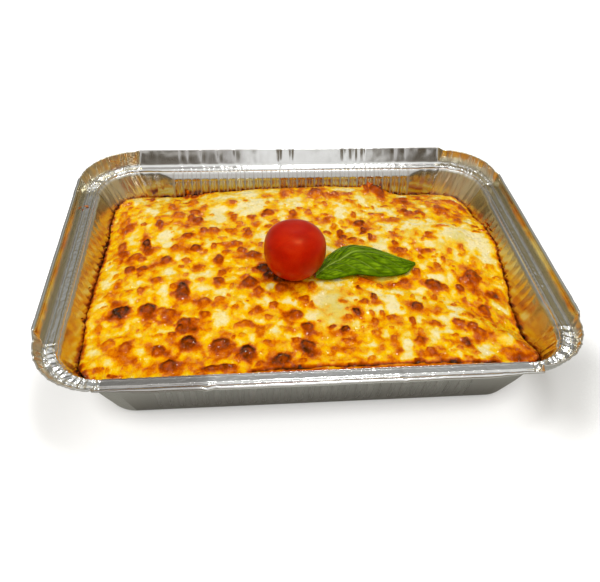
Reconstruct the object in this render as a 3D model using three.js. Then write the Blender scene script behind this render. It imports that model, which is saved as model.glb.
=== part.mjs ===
// A baked lasagne in its crimped foil tray, with a cherry tomato and a basil leaf on top.
// Millimetres, +Z up. The origin is the centre of the tray's flat base, which stands on z = 0,
// +X runs along the long side and the tray's front is towards -Y.
import * as THREE from 'three';
import { mergeVertices } from 'three/addons/utils/BufferGeometryUtils.js';

// ---- tray: half sizes of its inner face, on the base plane and at the ledge
const LEDGE_Z = 39;
const BASE = { x: 103.6, y: 75.8, corner: 15 };
const OPENING = { x: 122.85, y: 86.7, corner: 23.6 };
const FOIL = 0.5;
const FOOT_ROUND = 2.4;
const LEDGE_WIDTH = 5.9;
const BEAD_HEIGHT = 0.45;
const GROOVE_DEPTH = 0.6;
const HEM = { thickness: 1, from: 0.82 };  // the flange's folded edge, from this share of its height

// Flutes pressed into the straight walls, between two heights.
const FLUTE = { pitch: 5.75, depth: 1.3, low: 6.5, high: 34.6, fade: 2.2, longSide: 27, shortSide: 14 };
const WALL_TOP = 38;

// The flange stands up from the ledge: how far each stretch leans out and rises.
const FLANGE_SIDES = [
  { out: 6.1, up: 7.4 },     // front
  { out: -0.2, up: 11.6 },   // right
  { out: 5, up: 8.6 },       // back
  { out: 2.6, up: 9.7 },     // left
];
const FLANGE_CORNERS = [
  { out: 1.6, up: 6.3 },     // front right
  { out: -0.8, up: 9.8 },    // back right
  { out: 2.4, up: 9.2 },     // back left
  { out: 3.5, up: 4.6 },     // front left
];
const PLEAT = 0.5;         // half the height of a corner's pleats

// ---- food
const GAP = 0.4;
const CRUST_TOP = 35;      // the level of the middle, above the base plane
const RISE_REACH = 22;     // how far in from the edge most of the climb takes
// Height of the crust's edge on the wall, every 22.5 degrees round from the right side.
const EDGE_HEIGHTS = [26.5, 28.5, 19.5, 24.5, 28.4, 24.8, 21.4, 23, 24.8, 26.4, 26.5, 33, 35.3, 35.3, 30, 22.4];
const CRUST_HALF = { x: 117, y: 82 };
const CRUST_LIP = { drop: 1.6, share: 0.012 };  // the crust turns over the food's side within this
const MESH_STEP = 4.3;
const SWELL = 0.7;
const SPLIT = { fromX: -38, toX: 108, inset: 3.4, width: 1.6, depth: 2.2 };

// The largest browned blisters: x, y and radius.
const LARGE_BLISTERS = [
  [-96.7, -36.3, 4.4], [-83.7, -36.6, 5.2], [-73.8, -41.3, 4.2], [-67, -25.2, 5.2], [-55.4, -33.7, 4.7],
  [-64.6, -48.2, 5.6], [-62, -61.4, 5.5], [-47.3, -64, 6.3], [-33.4, -69.6, 5.2], [-76.7, -65.1, 5],
  [-70.4, -73.3, 5.4], [-93.1, -61.9, 4.6], [-31.8, -21.5, 5.2], [-77.8, 2.8, 4.2], [-66.7, 24.2, 4.4],
  [-62.9, 43.7, 4.6], [-29.5, 3.6, 4.6], [-17.1, -75, 5.3], [-4.9, -67.9, 5], [-8.9, -45.3, 4.2],
  [56, -40.7, 4.5], [69.3, -23.3, 4.9], [95.7, -12.6, 5.6], [83.9, -57.4, 6], [94.5, -40.5, 4.6],
  [36, 33.7, 4.2],
];
const SMALL_BLISTERS = { count: 90, least: 2.6, most: 4.2, seed: 41 };
const BLISTER = { reach: 1.25, height: 0.34 };  // both as shares of its radius

const TOMATO = { x: -7, y: -12.4, radius: 16.8, halfHeight: 15, squareness: 2.2, sink: 0.8, rings: 14, sides: 22 };

const LEAF = {
  midrib: [[3.5, -20.5], [14, -11.8], [28, -3.4], [45, -5.2], [61.5, -10.8]],
  lowerWidth: 15.2, upperWidth: 10.5, thickness: 0.5, clearance: 1.9, arch: 3.6,
  wave: 0.5, waves: 1.4, first: 0.035, last: 0.985, along: 18, across: 8,
};

const FULL_TURN = 2 * Math.PI;
const QUARTER = Math.PI / 2;

// ---------------------------------------------------------------- rings round the tray
// A ring is a rounded rectangle of columns, run anticlockwise from the front side's left end.
// Side k of the four is followed by corner k. A column's key grows from 0 to 8 round the ring.
const NORMALS = [[0, -1], [1, 0], [0, 1], [-1, 0]];
const TANGENTS = [[1, 0], [0, 1], [-1, 0], [0, -1]];

function halfAlong(shape, side) {
  return (side % 2 === 0 ? shape.x : shape.y) - shape.corner;
}

function halfAcross(shape, side) {
  return side % 2 === 0 ? shape.y : shape.x;
}

function straightColumn(side, share) {
  return { side, share, turn: 0, key: 2 * side + (share + 1) / 2 };
}

function cornerColumn(side, turn) {
  return { side, share: 1, turn, key: 2 * side + 1 + turn / QUARTER };
}

// Columns spaced evenly: counts of steps on a long side, a short side and a corner.
function plainColumns(longSteps, shortSteps, cornerSteps) {
  const columns = [];
  for (let side = 0; side < 4; side += 1) {
    const steps = side % 2 === 0 ? longSteps : shortSteps;
    for (let i = 0; i < steps; i += 1) columns.push(straightColumn(side, 2 * i / steps - 1));
    for (let i = 0; i < cornerSteps; i += 1) columns.push(cornerColumn(side, QUARTER * i / cornerSteps));
  }
  return columns;
}

// Two columns to each flute, on its crest and in its valley, and a plain one at each end.
function flutedColumns(cornerSteps) {
  const columns = [];
  for (let side = 0; side < 4; side += 1) {
    const flutes = side % 2 === 0 ? FLUTE.longSide : FLUTE.shortSide;
    const reach = halfAlong(OPENING, side);
    columns.push({ ...straightColumn(side, -1), flute: 0 });
    for (let i = -flutes; i <= flutes; i += 1) {
      const along = i * FLUTE.pitch / 2;
      const crest = (i + flutes) % 2 === 1 ? 1 : -1;
      const flute = Math.abs(i) === flutes ? 0 : crest;
      columns.push({ ...straightColumn(side, along / reach), along, flute });
    }
    for (let i = 0; i < cornerSteps; i += 1) {
      columns.push({ ...cornerColumn(side, QUARTER * i / cornerSteps), flute: 0 });
    }
  }
  return columns;
}

// A column's point on a rounded rectangle, moved outwards by out and set at height z.
function pointOn(shape, column, out, z) {
  const [nx, ny] = NORMALS[column.side];
  const [tx, ty] = TANGENTS[column.side];
  const across = Math.cos(column.turn);
  const round = Math.sin(column.turn);
  const reach = halfAlong(shape, column.side);
  const along = column.along ?? column.share * reach;
  const core = halfAcross(shape, column.side) - shape.corner;
  const swing = shape.corner + out;
  return new THREE.Vector3(
    nx * (core + swing * across) + tx * (along + swing * round),
    ny * (core + swing * across) + ty * (along + swing * round),
    z,
  );
}

function ring(columns, place) {
  return columns.map((column) => ({ key: column.key, point: place(column) }));
}

// The tray's inner wall at a height.
function wallShape(z) {
  const share = z / LEDGE_Z;
  const between = (name) => BASE[name] + (OPENING[name] - BASE[name]) * share;
  return { x: between('x'), y: between('y'), corner: between('corner') };
}

// ---------------------------------------------------------------- closed skins from rings
class Skin {
  constructor() {
    this.points = [];
  }

  triangle(a, b, c) {
    this.points.push(a, b, c);
  }

  // Joins two rings, which may differ in their number of columns, by walking up both keys.
  stitch(lower, upper) {
    const n = lower.length;
    const m = upper.length;
    const nextKey = (rows, i) => (i + 1 < rows.length ? rows[i + 1].key : 8);
    let i = 0;
    let j = 0;
    while (i < n || j < m) {
      const stepLower = j >= m || (i < n && nextKey(lower, i) <= nextKey(upper, j));
      const from = lower[i % n].point;
      const to = upper[j % m].point;
      if (stepLower) {
        this.triangle(from, lower[(i + 1) % n].point, to);
        i += 1;
      } else {
        this.triangle(from, upper[(j + 1) % m].point, to);
        j += 1;
      }
    }
  }

  capBelow(rows, hub) {
    rows.forEach((row, i) => this.triangle(hub, rows[(i + 1) % rows.length].point, row.point));
  }

  capAbove(rows, hub) {
    rows.forEach((row, i) => this.triangle(row.point, rows[(i + 1) % rows.length].point, hub));
  }

  stack(rings) {
    for (let i = 0; i + 1 < rings.length; i += 1) this.stitch(rings[i], rings[i + 1]);
  }

  // Merges the shared corners and drops the triangles that this leaves without an area.
  geometry() {
    const loose = new THREE.BufferGeometry().setFromPoints(this.points);
    const merged = mergeVertices(loose, 1e-4);
    const index = Array.from(merged.index.array);
    const kept = [];
    for (let i = 0; i < index.length; i += 3) {
      const [a, b, c] = index.slice(i, i + 3);
      if (a !== b && b !== c && c !== a) kept.push(a, b, c);
    }
    merged.setIndex(kept);
    merged.computeVertexNormals();
    return merged;
  }
}

function node(name, geometry, color, roughness, metalness) {
  const mesh = new THREE.Mesh(geometry, new THREE.MeshStandardMaterial({ color, roughness, metalness }));
  mesh.name = name;
  return mesh;
}

// ---------------------------------------------------------------- tray
const CORNER_STEPS = 14;
const RIM_COLUMNS = plainColumns(8, 6, CORNER_STEPS);
const FLUTED_COLUMNS = flutedColumns(CORNER_STEPS);

function inCorner(column) {
  return column.turn > 0;
}

function lean(column) {
  return inCorner(column) ? FLANGE_CORNERS[column.side] : FLANGE_SIDES[column.side];
}

// Pleats alternate from one corner column to the next.
function pleat(column) {
  if (!inCorner(column)) return 0;
  return Math.round(column.turn / QUARTER * CORNER_STEPS) % 2 === 0 ? PLEAT : -PLEAT;
}

// A ring on the rim: out and z are measured from the opening's edge and the ledge's top.
function rimRing(place) {
  return ring(RIM_COLUMNS, (column) => {
    const { out, z } = place(column);
    return pointOn(OPENING, column, out, LEDGE_Z + z);
  });
}

// A point of the flange: share runs up it, depth goes through the foil to its outer face.
function flangePlace(column, share, depth) {
  const { out, up } = lean(column);
  const length = Math.hypot(out, up);
  const ripple = pleat(column) * share;
  return {
    out: LEDGE_WIDTH + (out * share) + (ripple + depth) * up / length,
    z: up * share - (ripple + depth) * out / length,
  };
}

function flangeRing(share, depth) {
  return rimRing((column) => flangePlace(column, share, depth));
}

function ledgeRing(out, z) {
  return rimRing((column) => ({ out, z: z + 0.6 * pleat(column) }));
}

function wallRing(z, out) {
  return ring(RIM_COLUMNS, (column) => pointOn(wallShape(z), column, out, z));
}

function fluteRing(z, out, depth) {
  const place = (column) => pointOn(wallShape(z), column, out + column.flute * depth / 2, z);
  return ring(FLUTED_COLUMNS, place);
}

// The fluted band of one face of the wall, from its foot upwards.
function fluteRings(out) {
  return [
    fluteRing(FLUTE.low - FLUTE.fade, out, 0),
    fluteRing(FLUTE.low, out, FLUTE.depth),
    fluteRing(FLUTE.high, out, FLUTE.depth),
    fluteRing(FLUTE.high + FLUTE.fade, out, 0),
  ];
}

function trayGeometry() {
  const skin = new Skin();
  const outside = [
    wallRing(0, -FOOT_ROUND),
    wallRing(0.7, -0.4 * FOOT_ROUND + FOIL),
    wallRing(FOOT_ROUND, FOIL),
    ...fluteRings(FOIL),
    wallRing(WALL_TOP, FOIL),
  ];
  const under = [
    ledgeRing(1.4, -FOIL),
    ledgeRing(LEDGE_WIDTH - 1, -GROOVE_DEPTH - FOIL),
    rimRing(() => ({ out: LEDGE_WIDTH + FOIL, z: -FOIL / 2 })),
    flangeRing(HEM.from, FOIL),
    flangeRing(HEM.from, HEM.thickness),
    flangeRing(1, HEM.thickness),
  ];
  const over = [
    flangeRing(1, 0),
    rimRing(() => ({ out: LEDGE_WIDTH, z: 0.1 })),
    ledgeRing(LEDGE_WIDTH - 0.9, -GROOVE_DEPTH),
    ledgeRing(LEDGE_WIDTH - 1.7, 0),
    ledgeRing(1.6, 0),
    ledgeRing(0.7, BEAD_HEIGHT),
  ];
  const inside = [
    wallRing(WALL_TOP, 0),
    ...fluteRings(0).reverse(),
    wallRing(FOOT_ROUND + FOIL / 2, 0),
    wallRing(0.7 + FOIL, -0.4 * FOOT_ROUND),
    wallRing(FOIL, -FOOT_ROUND - 0.2),
  ];
  const rings = [...outside, ...under, ...over, ...inside];
  skin.capBelow(rings[0], new THREE.Vector3(0, 0, 0));
  skin.stack(rings);
  skin.capAbove(rings[rings.length - 1], new THREE.Vector3(0, 0, FOIL));
  return skin.geometry();
}

// ---------------------------------------------------------------- lasagne
function smooth(t) {
  return t * t * (3 - 2 * t);
}

function clamp01(t) {
  return Math.min(Math.max(t, 0), 1);
}

// Height of the crust's edge in the direction of a point.
function edgeHeight(x, y) {
  const turn = Math.atan2(y / CRUST_HALF.y, x / CRUST_HALF.x) / FULL_TURN;
  const place = (turn - Math.floor(turn)) * EDGE_HEIGHTS.length;
  const i = Math.floor(place) % EDGE_HEIGHTS.length;
  const next = EDGE_HEIGHTS[(i + 1) % EDGE_HEIGHTS.length];
  return THREE.MathUtils.lerp(EDGE_HEIGHTS[i], next, smooth(place - Math.floor(place)));
}

function insetOf(x, y) {
  return Math.max(Math.min(CRUST_HALF.x - Math.abs(x), CRUST_HALF.y - Math.abs(y)), 0);
}

// The domed top without its blisters: it climbs from the edge towards one level.
function crustLevel(x, y) {
  const edge = edgeHeight(x, y);
  const climb = 1 - Math.exp(-insetOf(x, y) / RISE_REACH);
  const swell = SWELL * Math.sin(x / 11 + 1.3 * Math.sin(y / 17)) * Math.sin(y / 9 + 0.8 * Math.sin(x / 23));
  return edge + (CRUST_TOP - edge) * climb + swell * climb;
}

// Seeded draws between 0 and 1.
function drawsFrom(seed) {
  let state = seed;
  return () => {
    state = (state * 16807) % 2147483647;
    return state / 2147483647;
  };
}

function scatterBlisters() {
  const draw = drawsFrom(SMALL_BLISTERS.seed);
  const blisters = LARGE_BLISTERS.map(([x, y, radius]) => ({ x, y, radius }));
  for (let tries = 0; tries < 40 * SMALL_BLISTERS.count; tries += 1) {
    if (blisters.length >= LARGE_BLISTERS.length + SMALL_BLISTERS.count) break;
    const x = (2 * draw() - 1) * (CRUST_HALF.x - 6);
    const y = (2 * draw() - 1) * (CRUST_HALF.y - 6);
    const radius = THREE.MathUtils.lerp(SMALL_BLISTERS.least, SMALL_BLISTERS.most, draw());
    const free = blisters.every((b) => Math.hypot(b.x - x, b.y - y) > 0.9 * (b.radius + radius));
    if (free) blisters.push({ x, y, radius });
  }
  return blisters;
}

const BLISTERS = scatterBlisters();

function blisterHeight(x, y) {
  let height = 0;
  for (const b of BLISTERS) {
    const share = Math.hypot(x - b.x, y - b.y) / (BLISTER.reach * b.radius);
    if (share < 1) height = Math.max(height, BLISTER.height * b.radius * (1 - share * share) ** 2);
  }
  return height;
}

// The crust has split along the front wall and left a thin strip of itself on the foil.
function splitDepth(x, y) {
  const fade = clamp01((x - SPLIT.fromX) / 8) * clamp01((SPLIT.toX - x) / 8);
  const off = Math.abs(y + CRUST_HALF.y - SPLIT.inset) / SPLIT.width;
  return SPLIT.depth * fade * clamp01(1 - off);
}

// The tomato presses a hollow of its own shape into the crust.
function pressedBy(x, y, height) {
  const share = Math.hypot(x - TOMATO.x, y - TOMATO.y) / TOMATO.radius;
  if (share >= 1) return height;
  const under = (TOMATO.halfHeight + GAP) * (1 - share ** TOMATO.squareness) ** (1 / TOMATO.squareness);
  return Math.min(height, TOMATO_Z - under);
}

function crustTop(x, y) {
  return pressedBy(x, y, crustLevel(x, y) + blisterHeight(x, y) - splitDepth(x, y));
}

const TOMATO_Z = crustLevel(TOMATO.x, TOMATO.y) + TOMATO.halfHeight - TOMATO.sink;

// Clearance to the flutes' crests, which stand into the tray.
const FOOD_INSET = FLUTE.depth / 2 + GAP;

// The crust's rings shrink from its outline on the wall to a line along the tray's middle.
const CRUST_OUTLINE = { ...CRUST_HALF, corner: 22 };
const CRUST_CORE = { x: CRUST_HALF.x - CRUST_HALF.y, y: 0, corner: 0 };

function crustEdge(column, drop) {
  const rough = pointOn(CRUST_OUTLINE, column, 0, 0);
  const height = edgeHeight(rough.x, rough.y) - drop;
  return pointOn(wallShape(height), column, -FOOD_INSET, height);
}

function lasagneGeometry() {
  const skin = new Skin();
  const sideColumns = plainColumns(12, 8, 6);
  const edgeColumns = plainColumns(44, 28, 8);
  const side = (z, inset) => ring(sideColumns, (c) => pointOn(wallShape(z), c, -inset, z));
  const crustRing = (columns, share, drop) => ring(columns, (column) => {
    const edge = crustEdge(column, drop);
    if (drop > 0) return edge;
    const point = edge.lerp(pointOn(CRUST_CORE, column, 0, 0), share);
    point.z = crustTop(point.x, point.y);
    return point;
  });
  const rings = [
    side(FOIL + GAP, FOOT_ROUND + FOOD_INSET),
    side(FOOT_ROUND + FOIL + GAP, FOOD_INSET),
    crustRing(edgeColumns, 0, CRUST_LIP.drop),
    crustRing(edgeColumns, CRUST_LIP.share, 0),
  ];
  const steps = Math.round(CRUST_HALF.y / MESH_STEP);
  for (let i = 1; i <= steps; i += 1) {
    const share = i / steps;
    const count = (edgeLength, coreLength) => (
      Math.max(Math.round(THREE.MathUtils.lerp(edgeLength, coreLength, share) / MESH_STEP), 1)
    );
    const columns = plainColumns(
      count(2 * halfAlong(CRUST_OUTLINE, 0), 2 * CRUST_CORE.x),
      count(2 * halfAlong(CRUST_OUTLINE, 1), 0),
      count(QUARTER * CRUST_OUTLINE.corner, 0),
    );
    rings.push(crustRing(columns, share, 0));
  }
  skin.capBelow(rings[0], new THREE.Vector3(0, 0, FOIL + GAP));
  skin.stack(rings);
  return skin.geometry();
}

// ---------------------------------------------------------------- cherry tomato
// Slightly square in profile, as a ball squeezed between its poles.
function tomatoGeometry() {
  const power = 2 / TOMATO.squareness;
  const profile = [];
  for (let i = 0; i <= TOMATO.rings; i += 1) {
    const angle = Math.PI * (i / TOMATO.rings - 0.5);
    const across = i === 0 || i === TOMATO.rings ? 0 : Math.cos(angle) ** power;
    const height = Math.sign(Math.sin(angle)) * Math.abs(Math.sin(angle)) ** power;
    profile.push(new THREE.Vector2(TOMATO.radius * across, TOMATO.halfHeight * height));
  }
  const geometry = new THREE.LatheGeometry(profile, TOMATO.sides);
  geometry.rotateX(QUARTER);
  return geometry;
}

// ---------------------------------------------------------------- basil leaf
const MIDRIB = new THREE.CatmullRomCurve3(LEAF.midrib.map(([x, y]) => new THREE.Vector3(x, y, 0)));

// A point of the blade: s runs from the stalk to the tip, v from the lower edge to the upper.
function leafPoint(s, v) {
  const rib = MIDRIB.getPoint(s);
  const lower = LEAF.lowerWidth * Math.sin(Math.PI * s ** 1.3) ** 0.6;
  const upper = LEAF.upperWidth * Math.sin(Math.PI * s ** 0.65) ** 0.8;
  const y = rib.y + v * (v < 0 ? lower : upper);
  const arch = LEAF.arch * Math.sin(Math.PI * s) * (1 - v * v);
  const wave = LEAF.wave * Math.sin(LEAF.waves * FULL_TURN * s) * v;
  return new THREE.Vector3(rib.x, y, crustLevel(rib.x, y) + LEAF.clearance + arch + wave);
}

// A thin closed blade: the same grid above and below, joined along the outline.
function leafGeometry() {
  const skin = new Skin();
  const { along, across, first, last } = LEAF;
  const grid = (lift) => Array.from({ length: along + 1 }, (_, i) => (
    Array.from({ length: across + 1 }, (_unused, j) => {
      const point = leafPoint(THREE.MathUtils.lerp(first, last, i / along), 2 * j / across - 1);
      point.z += lift;
      return point;
    })
  ));
  const top = grid(LEAF.thickness);
  const bottom = grid(0);
  const quad = (a, b, c, d) => {
    skin.triangle(a, b, c);
    skin.triangle(a, c, d);
  };
  for (let i = 0; i < along; i += 1) {
    for (let j = 0; j < across; j += 1) {
      quad(top[i][j], top[i + 1][j], top[i + 1][j + 1], top[i][j + 1]);
      skin.triangle(bottom[i][j], bottom[i + 1][j + 1], bottom[i + 1][j]);
      skin.triangle(bottom[i][j], bottom[i][j + 1], bottom[i + 1][j + 1]);
    }
    quad(bottom[i][0], bottom[i + 1][0], top[i + 1][0], top[i][0]);
    quad(bottom[i + 1][across], bottom[i][across], top[i][across], top[i + 1][across]);
  }
  for (let j = 0; j < across; j += 1) {
    quad(bottom[0][j + 1], bottom[0][j], top[0][j], top[0][j + 1]);
    quad(bottom[along][j], bottom[along][j + 1], top[along][j + 1], top[along][j]);
  }
  return skin.geometry();
}

// ---------------------------------------------------------------- the meal
const tray = node('tray', trayGeometry(), 0xb9bab8, 0.3, 1);
const lasagne = node('lasagne', lasagneGeometry(), 0xe8a820, 0.5, 0);
const tomato = node('cherry_tomato', tomatoGeometry(), 0xb01800, 0.25, 0);
const leaf = node('basil_leaf', leafGeometry(), 0x3f7d12, 0.45, 0);
tomato.position.set(TOMATO.x, TOMATO.y, TOMATO_Z);

const group = new THREE.Group();
group.add(tray, lasagne, tomato, leaf);

export default group;
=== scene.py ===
"""A baked lasagne in its crimped foil tray, with a cherry tomato and a basil leaf on top.

Laid out as an add-on and run as a script. Shapes are worked out in millimetres, in the frame of the
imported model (+X along the long side, +Y to the back, +Z up from the base), and become metres when a
mesh is made.
"""
import math

import bpy
import numpy as np
from bpy.props import FloatProperty, FloatVectorProperty, PointerProperty
from bpy.types import Operator, Panel, PropertyGroup
from mathutils import Matrix, Vector


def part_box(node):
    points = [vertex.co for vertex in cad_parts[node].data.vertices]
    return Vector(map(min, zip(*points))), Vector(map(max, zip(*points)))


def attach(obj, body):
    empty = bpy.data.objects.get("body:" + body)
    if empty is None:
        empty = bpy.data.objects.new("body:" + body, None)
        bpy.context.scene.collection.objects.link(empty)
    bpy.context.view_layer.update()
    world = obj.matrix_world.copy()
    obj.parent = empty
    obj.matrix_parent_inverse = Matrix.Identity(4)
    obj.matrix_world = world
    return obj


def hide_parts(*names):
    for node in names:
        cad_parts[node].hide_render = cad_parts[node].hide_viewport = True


bl_info = {
    "name": "Foil Tray Meal",
    "version": (1, 0, 0),
    "blender": (4, 5, 0),
    "location": "View3D > Sidebar > Tray Meal",
    "description": "Builds a baked lasagne in a foil tray around its packed model",
    "category": "Object",
}

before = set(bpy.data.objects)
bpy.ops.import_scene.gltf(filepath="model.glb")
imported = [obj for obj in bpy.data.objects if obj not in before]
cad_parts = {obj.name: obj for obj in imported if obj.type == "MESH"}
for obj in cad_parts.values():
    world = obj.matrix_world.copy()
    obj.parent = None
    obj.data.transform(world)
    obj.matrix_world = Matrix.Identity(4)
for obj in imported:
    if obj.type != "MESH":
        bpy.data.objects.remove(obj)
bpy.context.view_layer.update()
BODY = "root"
MM = 0.001
FULL_TURN = 2 * math.pi
QUARTER = math.pi / 2
TINY = 1e-6                 # keeps a length from being nothing

# ---- tray, in millimetres: half sizes of its inner face on the base plane and at the ledge
LEDGE_Z = 39.0
BASE = {"x": 103.6, "y": 75.8, "corner": 15.0}
OPENING = {"x": 122.85, "y": 86.7, "corner": 23.6}
FOOT_ROUND = 2.4
LEDGE_WIDTH = 5.9
WALL_TOP = 38.0
# Anything given side by side is for the front, the right, the back and the left.
FRONT, RIGHT, BACK, LEFT = range(4)
BACK_CORNERS = (RIGHT, BACK)    # a corner counts with the side before it
PITCH = 5.75                # from flute to flute
FLUTES = (27, 14, 27, 14)
FLUTE_FOOT = 4.6
FLUTE_HEADS = np.array([37.3, 37.3, 34.4, 37.3])   # height of the flutes' round heads, side by side
# A flute's form: half its flat and the slope beside it, its creases and the width of its head in
# pitches, then the creases' depths, the rounding of its head and the fade at its two ends in millimetres.
FLUTE = {"flat": 0.27, "slope": 0.2, "line": 0.04, "gap": 0.05, "head": 0.47,
         "line_depth": 0.16, "gap_depth": 0.12, "round": 2.6, "head_fade": 1.3, "foot_fade": 2.4}
UNEVEN_FLUTES = 0.25        # share by which their depth wanders
HEM_THICKNESS = np.array([2.3, 1.7, 0.9, 1.6])   # the rolled edge of the flange, side by side
CORNER_HEM = 0.9
HEM_EVEN = 74.0             # the front's edge keeps its thickness this far from the middle
HEM_FROM = 0.72             # share of the flange's height down to which its edge is folded
SOFT_DEPTH, FRONT_DEPTH = 0.27, 0.8   # depth of the ends' and the front's flutes as shares of the back's
END_SCUFF, BACK_CORNER_SCUFF = 0.12, 0.2
SHOULDER = np.array([0.5, 1.0, 2.1, 0.8])   # how far the top of each wall stands in from its slope
SHOULDER_FROM = np.array([36.6, 36.6, 34.3, 36.6])   # and where it turns back out to the bead
CORNER_SHOULDER, CORNER_SHOULDER_FROM, SHOULDER_END = 0.6, 36.6, 38.3

# The flange, from the front anticlockwise: how far each stretch leans out and rises.
SIDE_LEANS = np.array([(6.1, 7.4), (1.5, 8.9), (5.0, 8.6), (2.6, 9.7)])
CORNER_LEANS = np.array([(1.6, 6.3), (-0.8, 9.8), (2.4, 9.2), (3.5, 4.6)])
NORMALS = np.array([(0, -1), (1, 0), (0, 1), (-1, 0)])
TANGENTS = np.array([(1, 0), (0, 1), (-1, 0), (0, -1)])

# ---- food, in millimetres
CRUST_HALF_X, CRUST_HALF_Y, CRUST_CORNER = 117.0, 82.0, 22.0
CRUST_TOP = 35.0
RISE_REACH = 22.0           # and longer where the edge is low, so that the slope stays gentle
SWELL = 0.7
# Height of the crust's edge on the wall, every 11.25 degrees round from the right side.
EDGE_HEIGHTS = np.array([
    27.5, 30.3, 28, 23.2, 20, 20.5, 27, 28.1, 27.5, 26.9, 25, 21.5, 21.8, 23.2, 22.7, 23.8,
    25, 26, 27, 24.7, 26.5, 30, 33, 34.5, 35.3, 35.3, 35.3, 34, 27, 18.5, 20.2, 25,
])


# ---------------------------------------------------------------- numbers and noise
def smooth(t):
    """3t^2 - 2t^3 with t held between 0 and 1."""
    t = np.clip(t, 0, 1)
    return t * t * (3 - 2 * t)


def mix(a, b, t):
    """a where t is 0, b where it is 1."""
    return a + (b - a) * t


def noise(x, y, seed):
    """Gradient noise of about -1 to 1: a random slope at each whole x and y, each one's plane blended
    with its neighbours' by a smooth step."""
    size = 128
    angle = np.random.default_rng(seed).uniform(0, FULL_TURN, (size, size))
    slope_x, slope_y = np.cos(angle), np.sin(angle)
    x, y = np.broadcast_arrays(np.asarray(x, float), np.asarray(y, float))
    i, j = np.floor(x).astype(int), np.floor(y).astype(int)

    def plane(di, dj):
        a, b = (i + di) % size, (j + dj) % size
        return slope_x[a, b] * (x - i - di) + slope_y[a, b] * (y - j - dj)

    across, up = smooth(x - i), smooth(y - j)
    return 1.5 * mix(mix(plane(0, 0), plane(1, 0), across), mix(plane(0, 1), plane(1, 1), across), up)


def layered(x, y, seed, layers=3, fade=0.5):
    """Noise summed in layers, each twice as fine as the last and fade times as strong."""
    weights = [fade ** k for k in range(layers)]
    parts = [w * noise(x * 2 ** k + 17.3 * k, y * 2 ** k - 9.1 * k, seed + k) for k, w in enumerate(weights)]
    return sum(parts) / sum(weights)


def creased(x, y, seed, layers=3):
    """Ridges of 0 to 1 with sharp tops: one less the size of layered noise."""
    return 1 - np.minimum(2.2 * np.abs(layered(x, y, seed, layers)), 1)


def zigzag(t):
    """A triangle wave from -1 to 1 with a period of 1."""
    return 4 * np.abs(t - np.floor(t + 0.5)) - 1


# ---------------------------------------------------------------- meshes and nodes
def grid_quads(rows, columns, closed=False, turned=False):
    """Quads between neighbouring points of a grid kept row by row. A closed grid joins its last column
    to its first, and a turned one faces the other way."""
    index = np.arange(rows * columns).reshape(rows, columns)
    right = np.roll(index, -1, axis=1)
    last = columns if closed else columns - 1
    a, b = index[:-1, :last], right[:-1, :last]
    c, d = right[1:, :last], index[1:, :last]
    corners = (a, d, c, b) if turned else (a, b, c, d)
    return np.stack([part.ravel() for part in corners], axis=1)


def make_mesh(name, points, quads, material, caps=(), marks=None):
    """A smooth mesh object at the origin from points in millimetres, quads, many-sided caps and named
    values for each point."""
    mesh = bpy.data.meshes.new(name)
    corners = np.concatenate([quads.ravel(), *[np.asarray(cap) for cap in caps]])
    sizes = np.concatenate([np.full(len(quads), 4), [len(cap) for cap in caps]]).astype(int)
    mesh.vertices.add(len(points))
    mesh.vertices.foreach_set("co", (points * MM).ravel())
    mesh.loops.add(len(corners))
    mesh.loops.foreach_set("vertex_index", corners.astype(np.int32))
    mesh.polygons.add(len(sizes))
    mesh.polygons.foreach_set("loop_start", (np.cumsum(sizes) - sizes).astype(np.int32))
    mesh.polygons.foreach_set("use_smooth", np.ones(len(sizes), bool))
    mesh.update(calc_edges=True)
    for mark, values in (marks or {}).items():
        mesh.attributes.new(mark, "FLOAT", "POINT").data.foreach_set("value", values.ravel())
    mesh.materials.append(material)
    piece = bpy.data.objects.new(name, mesh)
    bpy.context.scene.collection.objects.link(piece)
    return piece


def thicken(piece, thickness):
    """Gives a sheet its thickness, on the side that it doesn't face."""
    solidify = piece.modifiers.new("thickness", "SOLIDIFY")
    solidify.thickness = thickness
    solidify.offset = -1


def dress(piece, node):
    """The piece rides on the meal's body and, given a node, stands for it: the model's own part for that node
    is hidden.
    """
    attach(piece, BODY)
    if node:
        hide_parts(node)


def linear(hex_colour):
    """The linear colour, with alpha, of an sRGB one such as #ffcc00."""
    parts = [int(hex_colour[i:i + 2], 16) / 255 for i in (1, 3, 5)]
    return (*[p / 12.92 if p <= 0.04045 else ((p + 0.055) / 1.055) ** 2.4 for p in parts], 1.0)


def per_metre(millimetres):
    """The scale that makes a noise texture's grains that size on coordinates in metres."""
    return 1 / (millimetres * MM)


def darkened(colour, share):
    """A colour at that share of its brightness."""
    return (*[share * part for part in colour[:3]], 1.0)


MARK, GEOMETRY, OCCLUSION = "ShaderNodeAttribute", "ShaderNodeNewGeometry", "ShaderNodeAmbientOcclusion"
COORDINATES, PARTS, NOISE = "ShaderNodeTexCoord", "ShaderNodeSeparateXYZ", "ShaderNodeTexNoise"
MATH, VECTOR_MATH, RANGE = "ShaderNodeMath", "ShaderNodeVectorMath", "ShaderNodeMapRange"
MIX, RAMP, BUMP = "ShaderNodeMix", "ShaderNodeValToRGB", "ShaderNodeBump"
PRINCIPLED, OUTPUT = "ShaderNodeBsdfPrincipled", "ShaderNodeOutputMaterial"
SHARE, FIRST, SECOND = 0, 6, 7      # the inputs of a mix of two colours
COLOURS = {"data_type": "RGBA"}
EASED = {"interpolation_type": "SMOOTHSTEP"}


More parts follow.
